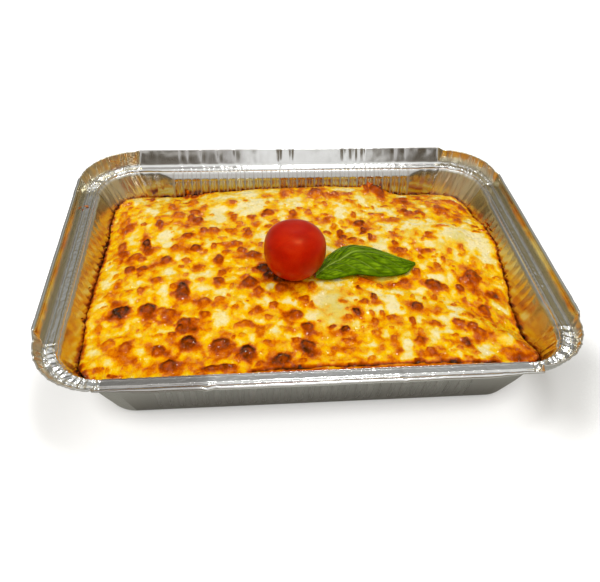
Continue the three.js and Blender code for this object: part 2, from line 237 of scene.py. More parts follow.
def add(tree, kind, inputs=None, **settings):
    """Adds a node with its settings, and sets or links its inputs. A node given as an input is linked
    from the first output that its settings leave in use."""
    node = tree.nodes.new(kind)
    for key, value in settings.items():
        setattr(node, key, value)
    for key, value in (inputs or {}).items():
        if isinstance(value, bpy.types.Node):
            value = next(output for output in value.outputs if output.enabled)
        if isinstance(value, bpy.types.NodeSocket):
            tree.links.new(value, node.inputs[key])
        else:
            node.inputs[key].default_value = value
    return node


def fill_ramp(ramp, steps):
    """Sets a colour ramp's colours, from pairs of a place between 0 and 1 and a colour."""
    elements = ramp.color_ramp.elements
    while len(elements) < len(steps):
        elements.new(0.5)
    for element, (position, colour) in zip(elements, steps):
        element.position = position
        element.color = colour
    return ramp


def new_material(name):
    """An empty node material, with its tree and the object coordinates."""
    material = bpy.data.materials.new(name)
    material.use_nodes = True
    material.node_tree.nodes.clear()
    tree = material.node_tree
    return material, tree, add(tree, COORDINATES).outputs["Object"]


# ---------------------------------------------------------------- settings
def colour_property(name, description, hex_colour):
    """A colour setting from an sRGB colour."""
    return FloatVectorProperty(name=name, description=description, default=linear(hex_colour), size=4,
                               subtype="COLOR", min=0, max=1)


def length_property(name, description, millimetres):
    """A length setting from millimetres."""
    return FloatProperty(name=name, description=description, default=millimetres * MM, min=0,
                         unit="LENGTH", precision=5)


def share_property(name, description, default, highest=1.0):
    """A setting from 0 to a highest share."""
    return FloatProperty(name=name, description=description, default=default, min=0, max=highest,
                         subtype="FACTOR")


def power_property(name, description, watts):
    """A light's power."""
    return FloatProperty(name=name, description=description, default=watts, min=0, unit="POWER")


class TraySettings(PropertyGroup):
    foil: length_property("Foil", "Thickness of the foil", 0.3)
    flute_depth: length_property("Flute depth", "From a flute's crest to its valley", 1.3)
    crumple: length_property("Crumple", "Height of the creases in the corners", 1.0)
    roughness: share_property("Roughness", "How much the rolled metal blurs a reflection", 0.15)
    colour: colour_property("Metal", "Colour of the bare aluminium", "#e2e2e0")


class LasagneSettings(PropertyGroup):
    blister: share_property("Blister height", "Height of a blister as a share of its radius", 0.34)
    browning: share_property("Browning", "How strongly the crust is browned", 1.0, 1.5)
    cream: colour_property("Cream", "Cheese that has hardly coloured", "#f2e4b0")
    golden: colour_property("Golden", "Cheese that has just coloured", "#f4c400")
    brown: colour_property("Brown", "The middle of a browned blister", "#b44a00")
    burnt: colour_property("Burnt", "The darkest spots", "#381600")


class GarnishSettings(PropertyGroup):
    tomato: colour_property("Tomato", "Colour of the ripe skin", "#b41200")
    leaf: colour_property("Leaf", "Colour of the blade", "#527200")
    veins: colour_property("Veins", "Colour of the leaf's veins", "#b4cc58")
    leaf_thickness: length_property("Leaf thickness", "Thickness of the blade", 0.35)


class StageSettings(PropertyGroup):
    floor: colour_property("Floor", "Colour of the floor", "#cbcbca")
    # The board's glow is painted light: an emission with no lamp under it.
    floor_glow: share_property("Floor's glow", "Light that the board lets through from below", 0.62, 2.0)
    mirrored_floor: colour_property("Floor in the foil", "Tone of the floor that the foil mirrors", "#aaaaa4")
    main_light: power_property("Main light", "Power of the large soft light from the front left", 7.3)
    key_light: power_property("Key light", "Power of the small light overhead, in which the oil glints", 5.6)
    front_card: power_property("Front card", "Power of the wide low light from the front", 2.4)


# ---------------------------------------------------------------- places round the tray
def wall_shape(z):
    """The inner wall's half sizes and corner radius at a height, along straight lines from the base
    to the opening."""
    return {key: mix(BASE[key], OPENING[key], z / LEDGE_Z) for key in BASE}


class Columns:
    """Places round the tray, anticlockwise from the front side's left end: arrays of the side, the
    turn into the corner after it, a fixed place along the side and a share of its plain end."""

    def __init__(self, side, turn, fixed, slack):
        self.side, self.turn, self.fixed, self.slack = side, turn, fixed, slack

    def along(self, shape):
        """Distance from the side's middle, in the direction of its tangent."""
        half = np.where(self.side % 2 == 0, shape["x"], shape["y"]) - shape["corner"]
        return self.fixed + self.slack * (half - np.abs(self.fixed))

    def place(self, shape, out, z):
        """The point on a rounded rectangle, moved outwards by out and set at height z."""
        core = np.where(self.side % 2 == 0, shape["y"], shape["x"]) - shape["corner"]
        swing = shape["corner"] + out
        across, ahead = core + swing * np.cos(self.turn), self.along(shape) + swing * np.sin(self.turn)
        normal, tangent = NORMALS[self.side], TANGENTS[self.side]
        flat = normal * across[..., None] + tangent * ahead[..., None]
        return np.concatenate([flat, (z + 0 * across)[..., None]], axis=-1)


def fluted_half(side):
    """Half the length of a side's fluted stretch."""
    return np.array(FLUTES)[side] * PITCH / 2


def on_flutes(columns, along):
    """Whether each place is on a side's fluted stretch."""
    return (columns.turn == 0) & (np.abs(along) <= fluted_half(columns.side) + 0.01)


FLUTE_STEPS = np.array([-0.5, -0.42, -0.3, -0.07, 0, 0.07, 0.3, 0.42])  # columns of a flute, in pitches
END_STEPS = 12
CORNER_STEPS = 110


def tray_columns():
    """Eight columns to each flute, set close at its edges and its middle, then the plain ends and the
    corners in even steps."""
    parts = []
    for side, flutes in enumerate(FLUTES):
        half = flutes * PITCH / 2
        centres = (np.arange(flutes) + 0.5) * PITCH - half
        fluted = (centres[:, None] + FLUTE_STEPS * PITCH).ravel()
        ends = np.arange(END_STEPS) / END_STEPS
        turns = QUARTER * np.arange(CORNER_STEPS) / CORNER_STEPS
        parts += [
            (side, 0 * ends, 0 * ends - half, ends - 1),
            (side, 0 * fluted, fluted, 0 * fluted),
            (side, 0 * ends, 0 * ends + half, ends),
            (side, turns, 0 * turns + half, 0 * turns + 1),
        ]
    sides = np.concatenate([np.full(len(part[1]), part[0]) for part in parts])
    return Columns(sides, *[np.concatenate([part[k] for part in parts]) for k in (1, 2, 3)])


def corner_way(columns):
    """Millimetres along the rim from where the side's flutes end, and the share of the way into the
    crumpled part of the corner."""
    half = fluted_half(columns.side)
    beyond = np.abs(columns.along(OPENING)) - half
    way = beyond + OPENING["corner"] * columns.turn
    ending = smooth(np.minimum(beyond + 40 * (columns.turn > 0), 9) / 9)
    return way, ending


def flute_relief(columns, shape, z, depth):
    """Outward relief of the flutes, with a rounded head and a soft foot. At the back each is a flat
    recess between narrow ridges with a fine crease up its middle, and elsewhere a shallow wave with a
    fine crease between each two."""
    along = columns.along(shape)
    step = (along + fluted_half(columns.side)) / PITCH - 0.5
    off = step - np.round(step)
    crisp = columns.side == BACK
    soft = 0.5 + 0.5 * np.where(columns.side == FRONT, FRONT_DEPTH, SOFT_DEPTH) * np.cos(FULL_TURN * off)
    recess = np.where(crisp, 1 - smooth((np.abs(off) - FLUTE["flat"]) / FLUTE["slope"]), soft)
    up_the_middle = FLUTE["line_depth"] * np.exp(-(off / FLUTE["line"]) ** 2)
    between = FLUTE["gap_depth"] * np.exp(-((np.abs(off) - 0.5) / FLUTE["gap"]) ** 2)
    crease = np.where(crisp, up_the_middle, between)
    arch = 1 - np.sqrt(np.maximum(1 - (off / FLUTE["head"]) ** 2, 0))
    head = FLUTE_HEADS[columns.side] - FLUTE["round"] * arch
    tall = smooth((head - z) / FLUTE["head_fade"]) * smooth((z - FLUTE_FOOT) / FLUTE["foot_fade"])
    uneven = 1 + UNEVEN_FLUTES * noise(along / 9 + 31 * columns.side, z / 30, 11)
    return on_flutes(columns, along) * tall * uneven * (depth * (recess - 0.5) - crease)


def flute_scuff(columns, shape, z):
    """0 to 1 where the foil is dull: on the scuffed ridges and creases of the flutes, and a little all
    over the ends and the back corners of the tray."""
    along = columns.along(shape)
    step = (along + fluted_half(columns.side)) / PITCH - 0.5
    off = np.abs(step - np.round(step))
    lines = np.exp(-((off - 0.5) / 0.07) ** 2) + 0.7 * np.exp(-(off / 0.045) ** 2)
    streaks = np.exp(-((off - 0.4) / 0.1) ** 2) * (0.7 + 0.8 * noise(along / 7, z / 90, 98))
    marks = np.where(columns.side == BACK, lines, streaks * (columns.side == FRONT))
    at_back = (columns.turn > 0) & np.isin(columns.side, BACK_CORNERS)
    flutes = on_flutes(columns, along) * marks * smooth((z - FLUTE_FOOT) / 3)
    return flutes + END_SCUFF * (columns.side % 2) + BACK_CORNER_SCUFF * at_back


def wall_relief(columns, shape, z, depth, crumple):
    """Outward relief of the wall: its flutes, the upright creases of the corners that deepen towards
    the top, shallow dents and the shoulder, where the wall stands in below its top."""
    way, ending = corner_way(columns)
    lift = np.clip(z / LEDGE_Z, 0, 1)
    lean = 0.1 * (z - 20)
    folds = creased((way + lean) / 7.5 + 7 * columns.side, z / 60, 20, 2) - 0.5
    fine = creased((way - lean) / 3.4 + 5 * columns.side, z / 24, 29, 1) - 0.5
    at_back = np.isin(columns.side, BACK_CORNERS) * 1.0
    corner = ending * (0.15 + 0.85 * lift) * crumple * (0.6 * folds + 0.3 * at_back * fine)
    dents = 0.16 * layered(columns.along(shape) / 30 + 9 * columns.side + columns.turn, z / 26, 33, 1)
    grip = smooth((z - 1) / 6)
    start = mix(SHOULDER_FROM[columns.side], CORNER_SHOULDER_FROM, ending)
    most = mix(SHOULDER[columns.side], CORNER_SHOULDER, ending)
    inwards = most * smooth((z - 12) / 18) * (1 - np.clip((z - start) / (SHOULDER_END - start), 0, 1))
    return flute_relief(columns, shape, z, depth) + grip * (corner + dents) - inwards


# ---------------------------------------------------------------- tray
FOOT_ANGLES = np.linspace(0, QUARTER, 6)[:-1]
WALL_HEIGHTS = np.concatenate([
    np.linspace(FOOT_ROUND + 0.3, 6.5, 5), np.linspace(8.2, 29.6, 12), np.linspace(30.4, WALL_TOP, 20),
])


def wall_points(columns, foil, depth, crumple):
    """The wall's inner face, row by row: a round foot, then up the slope with its relief."""
    rows = [(FOOT_ROUND * (math.sin(a) - 1), foil + FOOT_ROUND * (1 - math.cos(a))) for a in FOOT_ANGLES]
    rows += [(0.0, z) for z in WALL_HEIGHTS]
    out, z = (np.array(part)[:, None] for part in zip(*rows))
    shape = wall_shape(z + 0 * columns.turn)
    return columns.place(shape, out + wall_relief(columns, shape, z, depth, crumple), z)


# The rim's profile from the wall's top to the flange's foot: out and up from the opening's edge, and
# how much of the corner's pleats each row takes. Below the edge, out is measured from the wall's slope.
RIM_PROFILE = np.array([
    (0.2, -1.3, 0), (0.0, -1.0, 0.1), (0.03, -0.6, 0.2), (0.12, -0.2, 0.3), (0.3, 0.16, 0.4),
    (0.56, 0.4, 0.5), (0.86, 0.4, 0.6), (1.16, 0.16, 0.6), (1.4, 0.0, 0.7), (2.0, 0.0, 0.8),
    (2.6, 0.0, 0.9), (3.2, 0.0, 1), (3.7, 0.0, 1), (4.1, 0.0, 1), (4.35, -0.14, 1), (4.6, -0.4, 1),
    (4.85, -0.58, 1), (5.1, -0.6, 1), (5.35, -0.45, 1), (5.65, -0.15, 1), (5.9, 0.1, 1),
])
FRONT_BEAD_DROP = 0.7       # share of its height that the bead loses along the front
FLANGE_SHARES = np.concatenate([np.linspace(0.07, 0.7, 8), np.linspace(0.74, 1, 14)])
HEM_TURNS = np.linspace(0, math.pi, 10)[1:]
HEM_ENDS = np.array([0.35, 0.7, 1.0])   # shares of the way down the folded edge's back
TAB_STEP = 1.5              # a side's flange changes to its corner's within this length


def leans(columns):
    """How far the flange leans out and rises: a side's, then its corner's, then the next side's, with a
    quick change at each end of the corner."""
    way = OPENING["corner"] * columns.turn
    arc = OPENING["corner"] * QUARTER
    here, corner = SIDE_LEANS[columns.side], CORNER_LEANS[columns.side]
    following = SIDE_LEANS[(columns.side + 1) % 4]
    inside = smooth((way - 0.2) / TAB_STEP)[..., None]
    leaving = smooth((way - arc + TAB_STEP + 0.2) / TAB_STEP)[..., None]
    lean = mix(mix(here, corner, inside), following, leaving * (way[..., None] > 0))
    return lean[..., 0], lean[..., 1]


def pleats(columns, out=0.0):
    """The corner's radial pleats: two zigzags of uneven pitch and height along the rim, the pleats
    slanting a little this way and that as they run outwards."""
    way = OPENING["corner"] * columns.turn
    arc = OPENING["corner"] * QUARTER
    window = smooth((way + 0.8) / 2.5) * smooth((arc + 0.8 - way) / 2.5) * (columns.turn > 0)
    slant = 0.09 * out * noise(way / 6 + 7 * columns.side, 2.2, 43)
    phase = way / 3.1 + 0.75 * noise(way / 4.2 + 13 * columns.side, 0.5, 41) + slant
    uneven = 0.7 + 0.6 * noise(way / 2.9 + 29 * columns.side, 3.5, 42)
    second = 0.35 * zigzag(1.9 * phase + 0.3 * out)
    return 0.62 * window * (uneven * zigzag(phase) + second)


def hem_radius(columns):
    """Half the thickness of the flange's rolled edge, which thins out towards the corners."""
    inside = 1 - smooth((np.abs(columns.along(OPENING)) - HEM_EVEN) / 22)
    return mix(CORNER_HEM, HEM_THICKNESS[columns.side], inside * (columns.turn == 0)) / 2


# Upright creases of the flange and the ledge: side, place along it, half width and height.
RIM_CREASES = np.array([
    (2, 59.4, 1.2, 0.35), (2, 48, 1.2, 0.35), (2, 37.3, 1.2, 0.35), (2, 68, 0.9, 0.25), (2, 73, 0.9, 0.25),
    (2, 8.4, 0.7, -0.45), (2, 0.3, 0.7, -0.3), (2, -34.6, 0.9, 0.35), (2, -40.3, 0.9, 0.35),
    (2, -44, 0.8, 0.3), (2, -48, 0.8, 0.3), (2, -69, 1.2, 0.3), (2, -76, 0.9, 0.25), (0, -52, 1.4, 0.5),
    (0, -48, 1.0, -0.4), (0, 36, 1.2, 0.35),
])


def rim_creases(columns):
    """Relief of the rim's named creases, one hump each."""
    along, total = columns.along(OPENING), 0 * columns.turn
    for side, at, half, height in RIM_CREASES:
        total = total + height * (columns.side == side) * np.exp(-((along - at) / half) ** 2)
    return total * (columns.turn == 0)


def rim_points(columns, crumple):
    """The rim's upper face, row by row: bead, ledge, groove, the flange's inner face and its folded
    edge."""
    along = columns.along(OPENING) + OPENING["corner"] * columns.turn + 300 * columns.side
    pleat = pleats(columns)
    lean_out, lean_up = leans(columns)
    length = np.hypot(lean_out, lean_up)

    out, up, share = (RIM_PROFILE[:, k][:, None] for k in range(3))
    on_bead = np.exp(-((out - 0.7) / 0.6) ** 2)
    jagged = on_bead * (0.24 * zigzag(along / (PITCH / 2)) + 0.16 * noise(along / 2.3, 0.3, 51))
    on_ledge = smooth((out - 1) / 0.6)
    wobble = on_ledge * (0.08 * layered(along / 4, out / 2.6, 52) + 0.08 * noise(along / 1.6, out / 1.3, 53))
    wobble = wobble * (1 + 0.9 * (columns.side % 2))
    foot = 1 - smooth((up + 1) / 1.2)
    carried = wall_relief(columns, wall_shape(WALL_TOP), WALL_TOP, 0, crumple)
    near_out = out + jagged + foot * carried
    near_up = up + share * pleats(columns, out) + wobble + 0.6 * share * rim_creases(columns)
    lowered = (columns.side == FRONT) * (columns.turn == 0)
    near_up = near_up - FRONT_BEAD_DROP * np.where(on_bead > 0.3, up, 0) * lowered
    near_level = LEDGE_Z + np.minimum(up, 0) * (out < 0.5) + 0 * along

    radius = hem_radius(columns)
    rise = FLANGE_SHARES[:, None] * (1 - radius / length)
    bend = HEM_TURNS[:, None]
    rise = np.concatenate([rise, 1 - radius / length * (1 - np.sin(bend)),
                           mix(1 - radius / length, HEM_FROM, HEM_ENDS[:, None])])
    depth = np.concatenate([0 * FLANGE_SHARES[:, None] + 0 * radius, radius * (1 - np.cos(bend)),
                            2 * radius + 0 * HEM_ENDS[:, None]])
    _way, ending = corner_way(columns)
    dent = 0.3 * layered(along / 26, rise * 1.1, 54, 2) + rim_creases(columns) * smooth(rise / 0.3)
    fold = ending * crumple * 0.3 * (creased(along / 4.2, rise * 0.9, 55, 2) - 0.5)
    on_hem = np.sin(math.pi * np.clip((rise - 0.83) / 0.17, 0, 1))
    hem_line = -0.5 * (columns.turn == 0) * (columns.side % 2) * on_hem
    pleated = pleat * (1 - 0.55 * smooth((rise - 0.5) / 0.5))
    ripple = (pleated + fold + dent) * np.minimum(rise, 1) + depth + hem_line
    edge = 0.1 * layered(along / 9, 0.7, 57) * rise
    far_out = LEDGE_WIDTH + lean_out * rise + ripple * lean_up / length
    far_up = (lean_up * rise + 0.1 * (1 - rise)) + edge - ripple * lean_out / length

    out, up = np.concatenate([near_out, far_out]), np.concatenate([near_up, far_up])
    level = np.concatenate([near_level, LEDGE_Z + 0 * far_up])
    return columns.place(wall_shape(level), out, LEDGE_Z + up)


def foil_material(settings):
    """Aluminium foil, cold rolled and pressed: bright, with wide shallow dents that bend a reflection and
    blur it unevenly.
    The ledge keeps a fine grain and pressed ridges are scuffed dull. A grey tint stands for handling on the
    corners and greys the back wall; on the front wall it is painted shade, darker towards the bottom, and on
    parts of the ledge a painted darker reflection. A golden tint on its inner faces is partly baked grease
    and partly a painted reflection of the crust, and the hem's dark lines are painted shade in its folds."""
    material, tree, place = new_material("rolled_aluminium_foil")
    scuff, grainy, film, fat, seam = (add(tree, MARK, attribute_name=mark).outputs["Fac"]
                                      for mark in ("scuff", "grainy", "film", "fat", "seam"))
    dents = add(tree, NOISE, {"Vector": place, "Scale": per_metre(7.0), "Detail": 1.0})
    grain = add(tree, NOISE, {"Vector": place, "Scale": per_metre(0.9), "Detail": 2.0})
    texture = add(tree, MATH, {0: grain, 1: grainy}, operation="MULTIPLY")
    heights = add(tree, MATH, {0: texture, 1: 0.8, 2: dents}, operation="MULTIPLY_ADD")
    relief = add(tree, BUMP, {"Height": heights, "Distance": 0.12 * MM})
    low, high = settings.roughness - 0.04, settings.roughness + 0.06
    uneven = add(tree, RANGE, {"Value": dents, "To Min": low, "To Max": high})
    dull = add(tree, MATH, {0: scuff, 1: 0.5, 2: uneven}, operation="MULTIPLY_ADD")
    normal = add(tree, GEOMETRY).outputs["Normal"]
    outwards = add(tree, VECTOR_MATH, {0: normal, 1: place}, operation="DOT_PRODUCT")
    inner = {"Value": outwards, "From Min": 0.02, "From Max": -0.02, "To Max": fat}
    golden = add(tree, RANGE, inner, **EASED)
    # Grey tint: handling on the flange's corners, grey on the back wall, painted shade on the front wall and
    # a painted darker reflection on parts of the ledge.
    greyed = add(tree, MIX, {SHARE: film, FIRST: settings.colour[:], SECOND: linear("#a29e9a")}, **COLOURS)
    # Golden tint on the inner faces: partly baked grease, partly a painted reflection of the crust.
    gilded = add(tree, MIX, {SHARE: golden, FIRST: greyed, SECOND: linear("#d8c890")}, **COLOURS)
    # The hem's dark lines: painted shade in its folds.
    colour = add(tree, MIX, {SHARE: seam, FIRST: gilded, SECOND: linear("#6a6664")}, **COLOURS)
    inputs = {"Base Color": colour, "Metallic": 1.0, "Roughness": dull, "Normal": relief}
    add(tree, OUTPUT, {"Surface": add(tree, PRINCIPLED, inputs)})
    return material


def tray_material():
    """The foil, made once for the wall and the rim."""
    return bpy.data.materials.get("rolled_aluminium_foil") or foil_material(bpy.context.scene.meal_tray)


# Marks side by side and in the corners: grey tint and golden tint on the wall, then golden tint and scuff on
# the flange. The golden tint is partly baked grease and partly a painted reflection of the crust.
WALL_GREY = np.array([0.0, 0.0, 0.6, 0.0])
WALL_FAT_AND_REFLECTION, WALL_CORNER_FAT_AND_REFLECTION = np.array([0.0, 0.95, 0.0, 0.85]), np.array([0.8, 0.45, 0.45, 0.8])
FLANGE_FAT_AND_REFLECTION, FLANGE_CORNER_FAT_AND_REFLECTION = np.array([0.0, 0.9, 0.0, 0.8]), 0.5
FLANGE_SCUFF, FLANGE_CORNER_SCUFF = np.array([0.1, 0.08, 0.0, 0.08]), 0.25


def wall_marks(columns, heights):
    """Where the wall is scuffed, tinted grey or tinted golden, for each of its points. On the front the grey
    is painted shade, darker towards the bottom; the golden tint is partly baked grease and partly a painted
    reflection of the crust.
    """
    scuff = flute_scuff(columns, wall_shape(heights), heights)
    straight, low = columns.turn == 0, smooth((WALL_TOP - 0.4 - heights) / 1.2)
    film = np.where(straight, WALL_GREY[columns.side], 0) * low
    # On the front wall the grey is painted shade, darker towards the bottom.
    film = np.where(columns.side == FRONT, 0.9 * smooth(1 - heights / 26), film)
    # The golden tint is partly baked grease and partly a painted reflection of the crust.
    fat = np.where(straight, WALL_FAT_AND_REFLECTION[columns.side], WALL_CORNER_FAT_AND_REFLECTION[columns.side]) * low
    return {"scuff": scuff, "grainy": 0 * scuff, "film": film, "fat": fat, "seam": 0 * scuff}


def rim_marks(columns, rows):
    """Where the rim is grainy, scuffed, greyed by handling, darkened by a painted darker reflection on the
    ledge or golden with grease and a painted reflection of the crust, and where its hem's dark lines of
    painted shade run.
    """
    count, bend = len(columns.side), len(RIM_PROFILE)
    profile = RIM_PROFILE[:, 0]
    on_ledge = smooth((profile - 1) / 0.6) * (1 - smooth((profile - 4) / 0.8))
    grainy = np.concatenate([on_ledge, np.zeros(rows - bend)])[:, None] + np.zeros((rows, count))
    on_flange = smooth((np.arange(rows) - bend + 1.0) / 2)[:, None]
    scuff = np.where(columns.turn > 0, FLANGE_CORNER_SCUFF, FLANGE_SCUFF[columns.side])
    # The flange's golden tint: partly baked grease, partly a painted reflection of the crust.
    fat = on_flange * np.where(columns.turn > 0, FLANGE_CORNER_FAT_AND_REFLECTION, FLANGE_FAT_AND_REFLECTION[columns.side])
    height = np.zeros(rows)
    height[bend:bend + len(FLANGE_SHARES)] = FLANGE_SHARES
    height[bend + len(FLANGE_SHARES) + 4:] = 1.1
    hem = ((columns.turn == 0) & (columns.side % 2 == 1))[None, :]
    # Painted shade in the hem's folds: a line along its fold and the back of its rolled edge.
    seam = hem * (0.8 * np.exp(-((height - 0.81) / 0.03) ** 2) + (height > 1.05))[:, None]
    along = columns.along(OPENING)
    # Painted darker reflection on the ledge: at the back away from its middle, and at the front's left end.
    at_back = 0.7 * smooth((np.abs(along + 15) - 42) / 14) * on_flange
    at_front = (columns.side == FRONT) * 0.8 * smooth((-48 - along) / 10)
    painted_dark_reflection = np.where(columns.side == BACK, at_back, at_front) * (columns.turn == 0)
    film = np.maximum(0.2 * on_flange * (scuff > 0.15), painted_dark_reflection)
    return {"grainy": grainy, "scuff": on_flange * scuff, "film": film, "fat": fat, "seam": seam}


class OBJECT_OT_tray_wall(Operator):
    """Make the tray's base and its fluted wall"""
    bl_idname = "object.tray_wall"
    bl_label = "Tray Wall"

    def execute(self, context):
        settings = context.scene.meal_tray
        columns = tray_columns()
        foil = settings.foil / MM
        points = wall_points(columns, foil, settings.flute_depth / MM, settings.crumple / MM)
        rows, count = points.shape[:2]
        quads = grid_quads(rows, count, closed=True, turned=True)
        base = [np.arange(count)]
        marks = wall_marks(columns, points[..., 2])
        wall = make_mesh("tray_wall", points.reshape(-1, 3), quads, tray_material(), base, marks)
        thicken(wall, settings.foil)
        dress(wall, "tray")
        return {"FINISHED"}


class OBJECT_OT_tray_rim(Operator):
    """Make the tray's bead, ledge, groove and folded flange"""
    bl_idname = "object.tray_rim"
    bl_label = "Tray Rim"

    def execute(self, context):
        settings = context.scene.meal_tray
        columns = tray_columns()
        points = rim_points(columns, settings.crumple / MM)
        rows, count = points.shape[:2]
        quads = grid_quads(rows, count, closed=True, turned=True)
        marks = rim_marks(columns, rows)
        rim = make_mesh("tray_rim", points.reshape(-1, 3), quads, tray_material(), marks=marks)
        thicken(rim, settings.foil)
        dress(rim, "tray")
        return {"FINISHED"}


# ---------------------------------------------------------------- lasagne
# Browned blisters, region by region, and a painted contact shadow under the tomato: x, y, half width, half
# depth and darkness from 0 to 1.
BACK_LEFT_SPOTS = [
    (-78, 60, 2.5, 5, .6), (-65, 66, 3.5, 6, .55), (-75, 66, 3, 6, .45), (-58, 56, 2, 4, .5),
    (-73, 47, 4, 6, .6), (-63, 51, 3.5, 4, .65), (-65, 44, 2.5, 5, .7), (-61, 41, 3.5, 4.5, .8),
    (-53, 48, 1.7, 2, .5), (-40, 61, 3, 3.5, .6), (-41, 48, 2, 3, .6), (-39, 44, 2.5, 3.5, .65),
    (-93, 39.5, 2, 2, .7), (-84, 39, 2.5, 3.5, .8), (-83, 36, 2, 2.5, .75), (-96, 48, 2, 1.5, .4),
    (-104, 46, 3, 5, .55), (-103, 38, 4, 5, .6), (-107, 54, 2.5, 4, .5), (-91.5, 74, 1.5, 5, .8),
    (-70, 80, 2, 6, .8), (-65, 78, 3, 4, .85), (-58, 82, 4, 2, .85), (-86, 43, 1.5, 3, .5),
]
LEFT_SPOTS = [
    (-90, 21, 2.5, 4, 1), (-89, 16, 2.5, 3, .8), (-88, 12, 3, 4, .65), (-95, 9, 4.5, 4, .65),
    (-91, 6, 3, 3, .6), (-104, 20, 3, 6, .65), (-103, 14, 3, 3, .55), (-105, 9, 3, 2.5, .5),
    (-74.5, 21, 1, 2.5, .5), (-73, 13.5, 3, 3, .65), (-66, 23.5, 4.3, 3, .75), (-57, 28, 3, 4, .7),
    (-51, 28.5, 4, 4, .65), (-42, 28, 3, 3, .6), (-61, 11, 4, 3.5, .8), (-51, 12.5, 2.5, 3, .65),
    (-46, 21, 3, 1.7, .5), (-48, 14.5, 2, 1.5, .6), (-44, 7, 2.5, 2, .5), (-40, 14, 2.5, 3, .6),
    (-77.5, 2, 4, 4.3, .75), (-66, 1, 2.3, 3, .6), (-48, 0, 3.3, 5, .75), (-58, -5, 3, 2, .5),
    (-97, -2.5, 3.5, 3.5, .8), (-90, -3, 3.7, 3, .8), (-66, -12, 2, 2, .5), (-81, -15, 3.7, 3.2, .65),
    (-46, -11, 2.5, 3, .65), (-47.5, -17, 3.5, 3.5, .75), (-102, -12, 3, 3, .45), (-95, -21, 2.2, 1.5, .55),
    (-106, -22, 3, 3, .5), (-89, -22, 1.7, 4, .6), (-67, -24, 4.3, 6.5, .85), (-72, -21, 2, 2, .6),
    (-41, -22, 1.5, 3, .5), (-57, -16, 2, 1.5, .45), (-115, 19, 1, 3, .7), (-83, -7.5, 2, 1.3, .45),
]
FRONT_LEFT_SPOTS = [
    (-97.5, -36, 5.5, 4.5, 1), (-84, -36, 5.5, 4.2, .9), (-77, -38, 3, 3, .6), (-73, -41, 4.5, 5, .7),
    (-55.5, -33.5, 4.5, 4, .7), (-47, -32, 3, 2.5, .6), (-67, -29, 4, 2.5, .75), (-64.5, -48, 4.5, 4.5, .8),
    (-67, -51, 3, 2.5, .85), (-55, -43, 3.5, 3.5, .7), (-60, -46, 3, 2, .65), (-70.5, -54.5, 3, 2, .75),
    (-77, -54.5, 2.5, 1, .55), (-83, -47.5, 2.3, 2.3, .55), (-108, -45, 2, 3, .45), (-107, -31, 2, 1.5, .5),
    (-101, -57, 4, 4, .6), (-97, -54, 2, 1.5, .5), (-93, -61.5, 3.7, 4.3, .7), (-76.5, -65, 4.3, 3.8, .75),
    (-62, -61, 4.5, 5, .9), (-47, -64, 6, 5.5, .85), (-71, -74, 5.5, 4.3, .85), (-92, -73, 2.2, 1.8, .5),
    (-104, -73, 3, 1.2, .6), (-97, -77, 3, 1, .75), (-48, -78, 9, 2.3, .85), (-60, -75, 3, 1.5, .5),
    (-56, -80.5, 3, 1.3, .6), (-54, -71.5, 1.5, 1.5, .45), (-91.5, -47.5, 1.3, 2, .4),
]
BACK_SPOTS = [
    (-32, 62.5, 1.7, 2, .6), (-18, 57.5, 1.7, 2.5, .5), (-12, 60, 1.5, 2, .4), (-8, 64, 1.5, 2, .5),
    (-5, 74, 5, 7, .45), (14, 74, 3.5, 5.5, .75), (11, 70, 1.8, 3.5, .7), (14, 68, 5, 8, .5),
    (26, 66.5, 3.5, 5, .65), (33, 66, 3, 3, .5), (34, 58.5, 3.5, 2.5, .6), (18, 54, 2, 4, .55),
    (1.5, 50, 2.2, 2, .6), (-3, 45, 2.5, 4, .65), (6.5, 44.5, 2.5, 4, .6), (-18, 45, 3.8, 4, .75),
    (-21.5, 43, 2, 2.5, .8), (-28.5, 41.5, 3.5, 3, .75), (-36, 36.5, 2.5, 3, .55), (-26, 35, 2.5, 2, .5),
    (-15, 36, 2, 3, .55), (-19, 31.5, 2.2, 1.7, .65), (-32, 29.5, 2.5, 2, .7), (-39, 29, 2, 2, .6),
    (17, 36.5, 2.5, 2.5, .6), (34.5, 43, 2, 3.5, .65), (36.5, 33, 3.8, 4.2, .85), (40, 53, 1.7, 3, .5),
    (6.5, 35, 2, 1.2, .55), (21, 30, 2, 2, .5), (27, 29.5, 2.5, 1.5, .6), (-19.5, 66.5, 2.5, 2, .45),
]
MIDDLE_SPOTS = [
    (-31, 26, 2.5, 4.5, .7), (-31, 23, 3.5, 4, .55), (-38, 14.5, 4, 3.5, .65), (-35, 8, 3.2, 3, .7),
    (-29, 3.5, 5, 3.8, .8), (-24, 13, 2, 3, .6), (-35, -8.5, 3, 1.5, .5), (-25, -9, 2.5, 3.5, .8),
    (-27, -10, 3.5, 2.5, .65), (-31.5, -20, 4.5, 5.5, .8), (-33, -15, 3, 2.5, .6), (-27, -27, 3, 3.5, .65),
    (-14.5, -25.5, 4.5, 4, .7), (1.5, -24.5, 3, 3.2, .65), (27, -25.5, 1.2, 1.7, .85), (32, -20, 5, 3, .65),
    (39, -25, 2.3, 3, .6), (6.5, -18.5, 2.2, 1.2, .6), (15.5, 22.5, 3, 1.5, .7), (23.5, 24, 2.5, 3, .75),
    (20, 28.5, 2, 2, .5), (24.5, 19.5, 2.5, 2, .8), (30, 17.5, 3, 1.8, .8), (35, 14.5, 1.8, 1.3, .65),
    (23, 15, 2.5, 3, .55), (22, 10.5, 2.5, 1.8, .6), (37, 23, 2.3, 1.7, .85), (40.5, 18.5, 1.5, 3.5, .85),
    # Under the tomato's lower left: painted contact shadow over a burnt patch.
    (-23, -8.5, 4.4, 4, 1), (-19.5, -14.5, 4.8, 3.8, 1), (-15, -19, 5.2, 2.8, 1), (-8, -21.8, 6, 1.8, .8),
]
